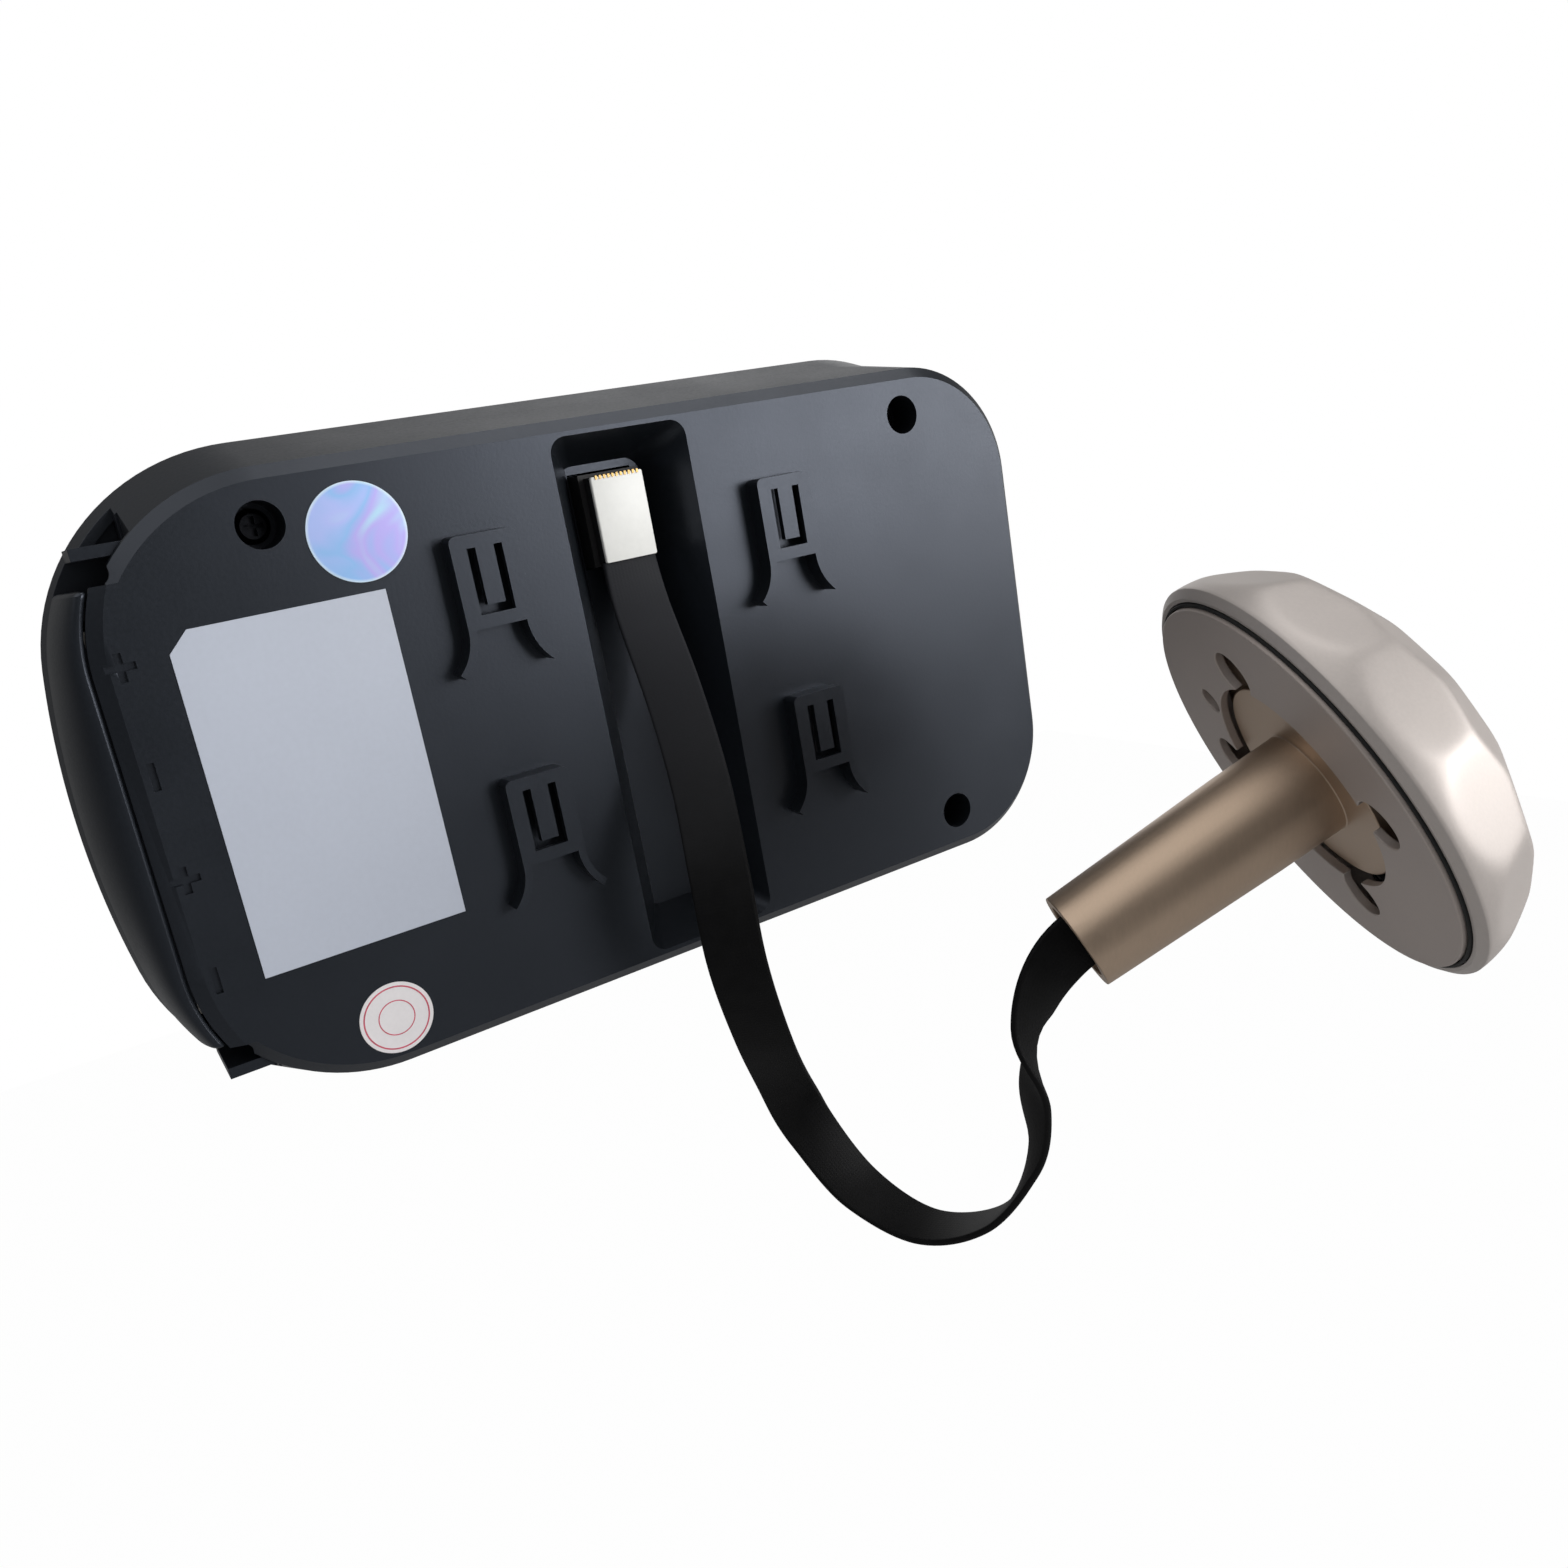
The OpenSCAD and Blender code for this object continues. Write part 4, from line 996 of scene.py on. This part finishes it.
class PEEPHOLE_OT_dome(Operator):
    """Make the faceted dome of the camera head"""

    bl_idname = "peephole.dome"
    bl_label = "Dome"

    # Flat top, round shoulder, wall and lip in millimetres, and the slopes of the two rows of facets
    flat, shoulder, base, wall, ledge, lip = 12.9, 15.6, 1.0, 2.2, 1.2, 26.95
    lifts = (28, 60)
    # Radii of the rings in the flat top, and the cosine from which a facet counts
    crown, facing = (10.0, 6.0, 0.05), 0.5
    # Foot of the facets; holes by their offset, radius and depth: lens seat, lens and bell button
    foot_z, clear = 1.7, 4
    holes = ((4.0, 8.65, 1.3), (4.0, 7.5, 8), (-9.0, 4.1, 8))

    def reach(self, turn, rise):
        """Distance of the faceted surface from the shoulder's centre, with soft edges, in millimetres."""
        size = sizes()
        soft, cut, count = size.facet_blend / MM, size.facet_cut / MM, size.facets
        # The round shoulder counts as one more facet
        total = 1.0
        for k, lift in enumerate(self.lifts):
            slope = math.radians(lift)
            for i in range(count):
                off = turn - (i + k / 2) * math.tau / count
                towards = math.cos(rise) * math.cos(slope) * math.cos(off) + math.sin(rise) * math.sin(slope)
                if towards > self.facing:
                    far = (self.shoulder - cut + self.flat * math.cos(slope) * (1 - math.cos(off))) / towards
                    total += math.exp((self.shoulder - far) / soft)
        return self.shoulder - soft * math.log(total)

    def execute(self, context):
        n, rows = 288, 56
        lip, ledge, base, outer = self.lip, self.ledge, self.base, self.flat + self.shoulder
        # Rim from the lip outwards, as radius and height
        rim = [(lip, ledge), (lip, 1.0), (lip + 0.1, 0.84), (lip + 0.25, 0.8)]
        rim += [(outer - 0.95, 0.82), (outer - 0.08, 1.55)]
        rings = turned(rim, n)
        foot = math.asin((self.foot_z - base) / self.shoulder)
        for row in range(rows + 1):
            rise = foot + (math.pi / 2 - foot) * row / rows
            points = []
            for turn in (math.tau * i / n for i in range(n)):
                far = self.reach(turn, rise)
                points.append(on_head(self.flat + far * math.cos(rise), turn, base + far * math.sin(rise)))
            rings.append(points)
        top = base + self.shoulder
        inner = self.shoulder - self.wall - ledge
        profile = [(r, top) for r in self.crown] + [(self.crown[-1], top - self.wall)]
        steps = 12
        for a in (math.pi / 2 * k / steps for k in range(steps + 1)):
            profile.append((self.flat + inner * math.sin(a), ledge + base + inner * math.cos(a)))
        profile.append((self.flat + inner, ledge))
        rings += turned(profile, n)
        bm = loft(rings)
        bm.faces.ensure_lookup_table()
        for face in bm.faces[: n * len(rim)]:
            face.material_index = 1
        body = from_bmesh(bm, "dome_cap", 30)
        for _ in range(2):
            body.materials.append(None)
        cuts = [self.drill(along, r, top - deep, top + self.clear) for along, r, deep in self.holes]
        mesh = cut_away(body, *cuts)
        mesh.materials.clear()
        made = piece("dome_cap", smooth(mesh, 34), "dome_metal", painted_dome, dome_rim)
        rounded(made, 0.12 * MM, 2, 45)
        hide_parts("dome_shell")
        return {"FINISHED"}

    def drill(self, along, r, z0, z1):
        """Round cutter beside the head's axis, in millimetres."""
        rings = [
            [HEAD @ (Vector((x, y + along, z)) * MM) for x, y in circle(0, 0, r)] for z in (z0, z1)
        ]
        return from_bmesh(loft(rings, closed=False), "drill")


class PEEPHOLE_OT_barrel(Operator):
    """Make the barrel, the door plate and the seal of the camera head"""

    bl_idname = "peephole.barrel"
    bl_label = "Barrel and plate"

    def execute(self, context):
        size = sizes()
        refined("barrel", "barrel_tube", "barrel_metal", anodised_barrel, size.small_edge, FOLD)
        refined("door_plate", "face_plate", "plate_metal", plate_metal, size.small_edge, FOLD)
        low, high, inner, outer = 0.5, 1.2, 26.45, 26.9
        middle, half = (inner + outer) / 2, (outer - inner) / 2
        crown = [(middle + half * math.cos(a), low + half - half * math.sin(a))
                 for a in (math.pi * k / 8 for k in range(9))]
        ring = turned(crown + [(inner, high), (outer, high)], 144)
        seal = piece("seal_cord", from_bmesh(loft(ring), "seal_cord"), "seal_rubber", seal_rubber)
        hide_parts("seal_ring")
        return {"FINISHED"}


class PEEPHOLE_OT_lens(Operator):
    """Make the lens, its window and its lamps"""

    bl_idname = "peephole.lens"
    bl_label = "Lens"

    def execute(self, context):
        edge = sizes().small_edge
        refined("lens_window", "lens_pane", "lens_glass", lens_glass, edge, FOLD)
        refined("ir_leds", "lamp_domes", "led_clear", led_epoxy, 0.5 * MM, FOLD)
        dress(black_nylon, "camera_module")
        return {"FINISHED"}


class PEEPHOLE_OT_cells(Operator):
    """Finish the cells and the contacts in the bay"""

    bl_idname = "peephole.cells"
    bl_label = "Cells"

    def execute(self, context):
        for n in range(1, 5):
            refined(f"battery_{n}", f"cell_{n}", "cell_skin", cell_sleeve, 0.3 * MM, FOLD)
        dress(contact_nickel, "bay_contacts")
        return {"FINISHED"}


class PEEPHOLE_OT_boards(Operator):
    """Finish the boards, switches, speaker and socket inside"""

    bl_idname = "peephole.boards"
    bl_label = "Boards"

    def execute(self, context):
        dress(board_laminate, "main_board", "key_board", "head_board")
        # The cable socket is black nylon as painted shade: beside the plug there is only shadow.
        dress(black_nylon, "board_chips", "key_switch", "bell_switch", "speaker", "cable_socket")
        return {"FINISHED"}


class PEEPHOLE_OT_stage(Operator):
    """Set the floor, the lamps and the background"""

    bl_idname = "peephole.stage"
    bl_label = "Stage"

    # Place, sides and power of the lamps, in metres and watts, and the point they face
    lamps = (("key", (0.80, -0.90, 0.16), 1.0, 0.55, 11.3), ("top", (0.48, -0.06, 1.1), 0.7, 0.7, 3.0))
    aim = (0, -0.02, -0.02)
    # Half side and height of the floor in metres, its grey, and how much of it the camera sees as white
    half, level, grey, share = 0.7, -0.26, 0.36, 0.985
    # Even light, and what shines: way, cosines of its edge and its core, strength outside and inside
    even = 0.52
    sky = ((-0.45, -0.1, 0.89), (0.72, 0.95), (0.14, 1.1))
    paper = ((0.49, 0.865, 0.1), (0.85, 0.96), (0.0, 1.0))

    def execute(self, context):
        scene = context.scene
        scene.view_settings.view_transform = "Standard"
        ground = bpy.data.meshes.new("floor")
        ways = ((-1, -1), (1, -1), (1, 1), (-1, 1))
        corners = [(x * self.half, y * self.half, self.level) for x, y in ways]
        ground.from_pydata(corners, [], [(0, 1, 2, 3)])
        floor = placed("floor", ground)
        ground.materials.append(self.floor_paint())
        for name, place, wide, tall, power in self.lamps:
            data = bpy.data.lights.new(name, "AREA")
            data.shape, data.size, data.size_y, data.energy = "RECTANGLE", wide, tall, power
            made = placed(name, data)
            made.location = place
            made.rotation_mode = "QUATERNION"
            made.rotation_quaternion = (Vector(self.aim) - made.location).to_track_quat("-Z", "Y")
        self.backdrop(scene)
        return {"FINISHED"}

    def floor_paint(self):
        """Matt grey floor that looks white to the camera and still takes the shadow."""
        made, tree, shader, _ = blank("floor_paint")
        feed(tree, shader, {"Base Color": (self.grey, self.grey, self.grey, 1.0), "Roughness": 0.9})
        seen = sums(tree, "MULTIPLY", put(tree, "ShaderNodeLightPath").outputs["Is Camera Ray"], self.share)
        white = put(tree, "ShaderNodeEmission", {"Color": (1, 1, 1, 1), "Strength": 1.0}).outputs["Emission"]
        mixed = blended(tree, seen, shader.outputs["BSDF"], white)
        feed(tree, tree.nodes["Material Output"], {"Surface": mixed})
        return made

    def backdrop(self, scene):
        """White background for the camera, an even light, and a bright sky and white paper to reflect."""
        world = bpy.data.worlds.new("studio")
        world.use_nodes = True
        scene.world = world
        tree = world.node_tree
        tree.nodes.clear()
        path = put(tree, "ShaderNodeLightPath").outputs
        way = put(tree, "ShaderNodeTexCoord").outputs["Generated"]
        shines = []
        for axis, edge, strength in (self.sky, self.paper):
            near = put(tree, "ShaderNodeVectorMath", {0: way, 1: axis}, operation="DOT_PRODUCT")
            shines.append(ranged(tree, near.outputs["Value"], edge, strength))
        even, gloss, white = [
            put(tree, "ShaderNodeBackground", {"Color": (1, 1, 1, 1), "Strength": glow}).outputs["Background"]
            for glow in (self.even, sums(tree, "MAXIMUM", *shines), 1.0)
        ]
        lit = blended(tree, path["Is Glossy Ray"], even, gloss)
        clear = sums(tree, "MAXIMUM", path["Is Camera Ray"], path["Is Transmission Ray"])
        put(tree, "ShaderNodeOutputWorld", {"Surface": blended(tree, clear, lit, white)})


STEPS = (
    PEEPHOLE_OT_camera,
    PEEPHOLE_OT_ribbon,
    PEEPHOLE_OT_plug,
    PEEPHOLE_OT_case,
    PEEPHOLE_OT_door,
    PEEPHOLE_OT_stickers,
    PEEPHOLE_OT_screws,
    PEEPHOLE_OT_screen,
    PEEPHOLE_OT_buttons,
    PEEPHOLE_OT_dome,
    PEEPHOLE_OT_barrel,
    PEEPHOLE_OT_lens,
    PEEPHOLE_OT_cells,
    PEEPHOLE_OT_boards,
    PEEPHOLE_OT_stage,
)


class PEEPHOLE_PT_pieces(Panel):
    """Lists the steps that make the pieces and the stage"""

    bl_idname = "PEEPHOLE_PT_pieces"
    bl_label = "Peephole door camera"
    bl_space_type = "VIEW_3D"
    bl_region_type = "UI"
    bl_category = "Peephole"

    def draw(self, context):
        for group in (context.scene.peephole_sizes, context.scene.peephole_colours):
            box = self.layout.box()
            for name in group.__annotations__:
                box.prop(group, name)
        for step in STEPS:
            self.layout.operator(step.bl_idname)


CLASSES = (PeepholeSizes, PeepholeColours) + STEPS + (PEEPHOLE_PT_pieces,)


def register():
    for kind in CLASSES:
        bpy.utils.register_class(kind)
    bpy.types.Scene.peephole_sizes = PointerProperty(type=PeepholeSizes)
    bpy.types.Scene.peephole_colours = PointerProperty(type=PeepholeColours)


def unregister():
    del bpy.types.Scene.peephole_colours
    del bpy.types.Scene.peephole_sizes
    for kind in reversed(CLASSES):
        bpy.utils.unregister_class(kind)


def main():
    register()
    for step in STEPS:
        getattr(bpy.ops.peephole, step.bl_idname.split(".")[1])()


if __name__ == "__main__":
    main()
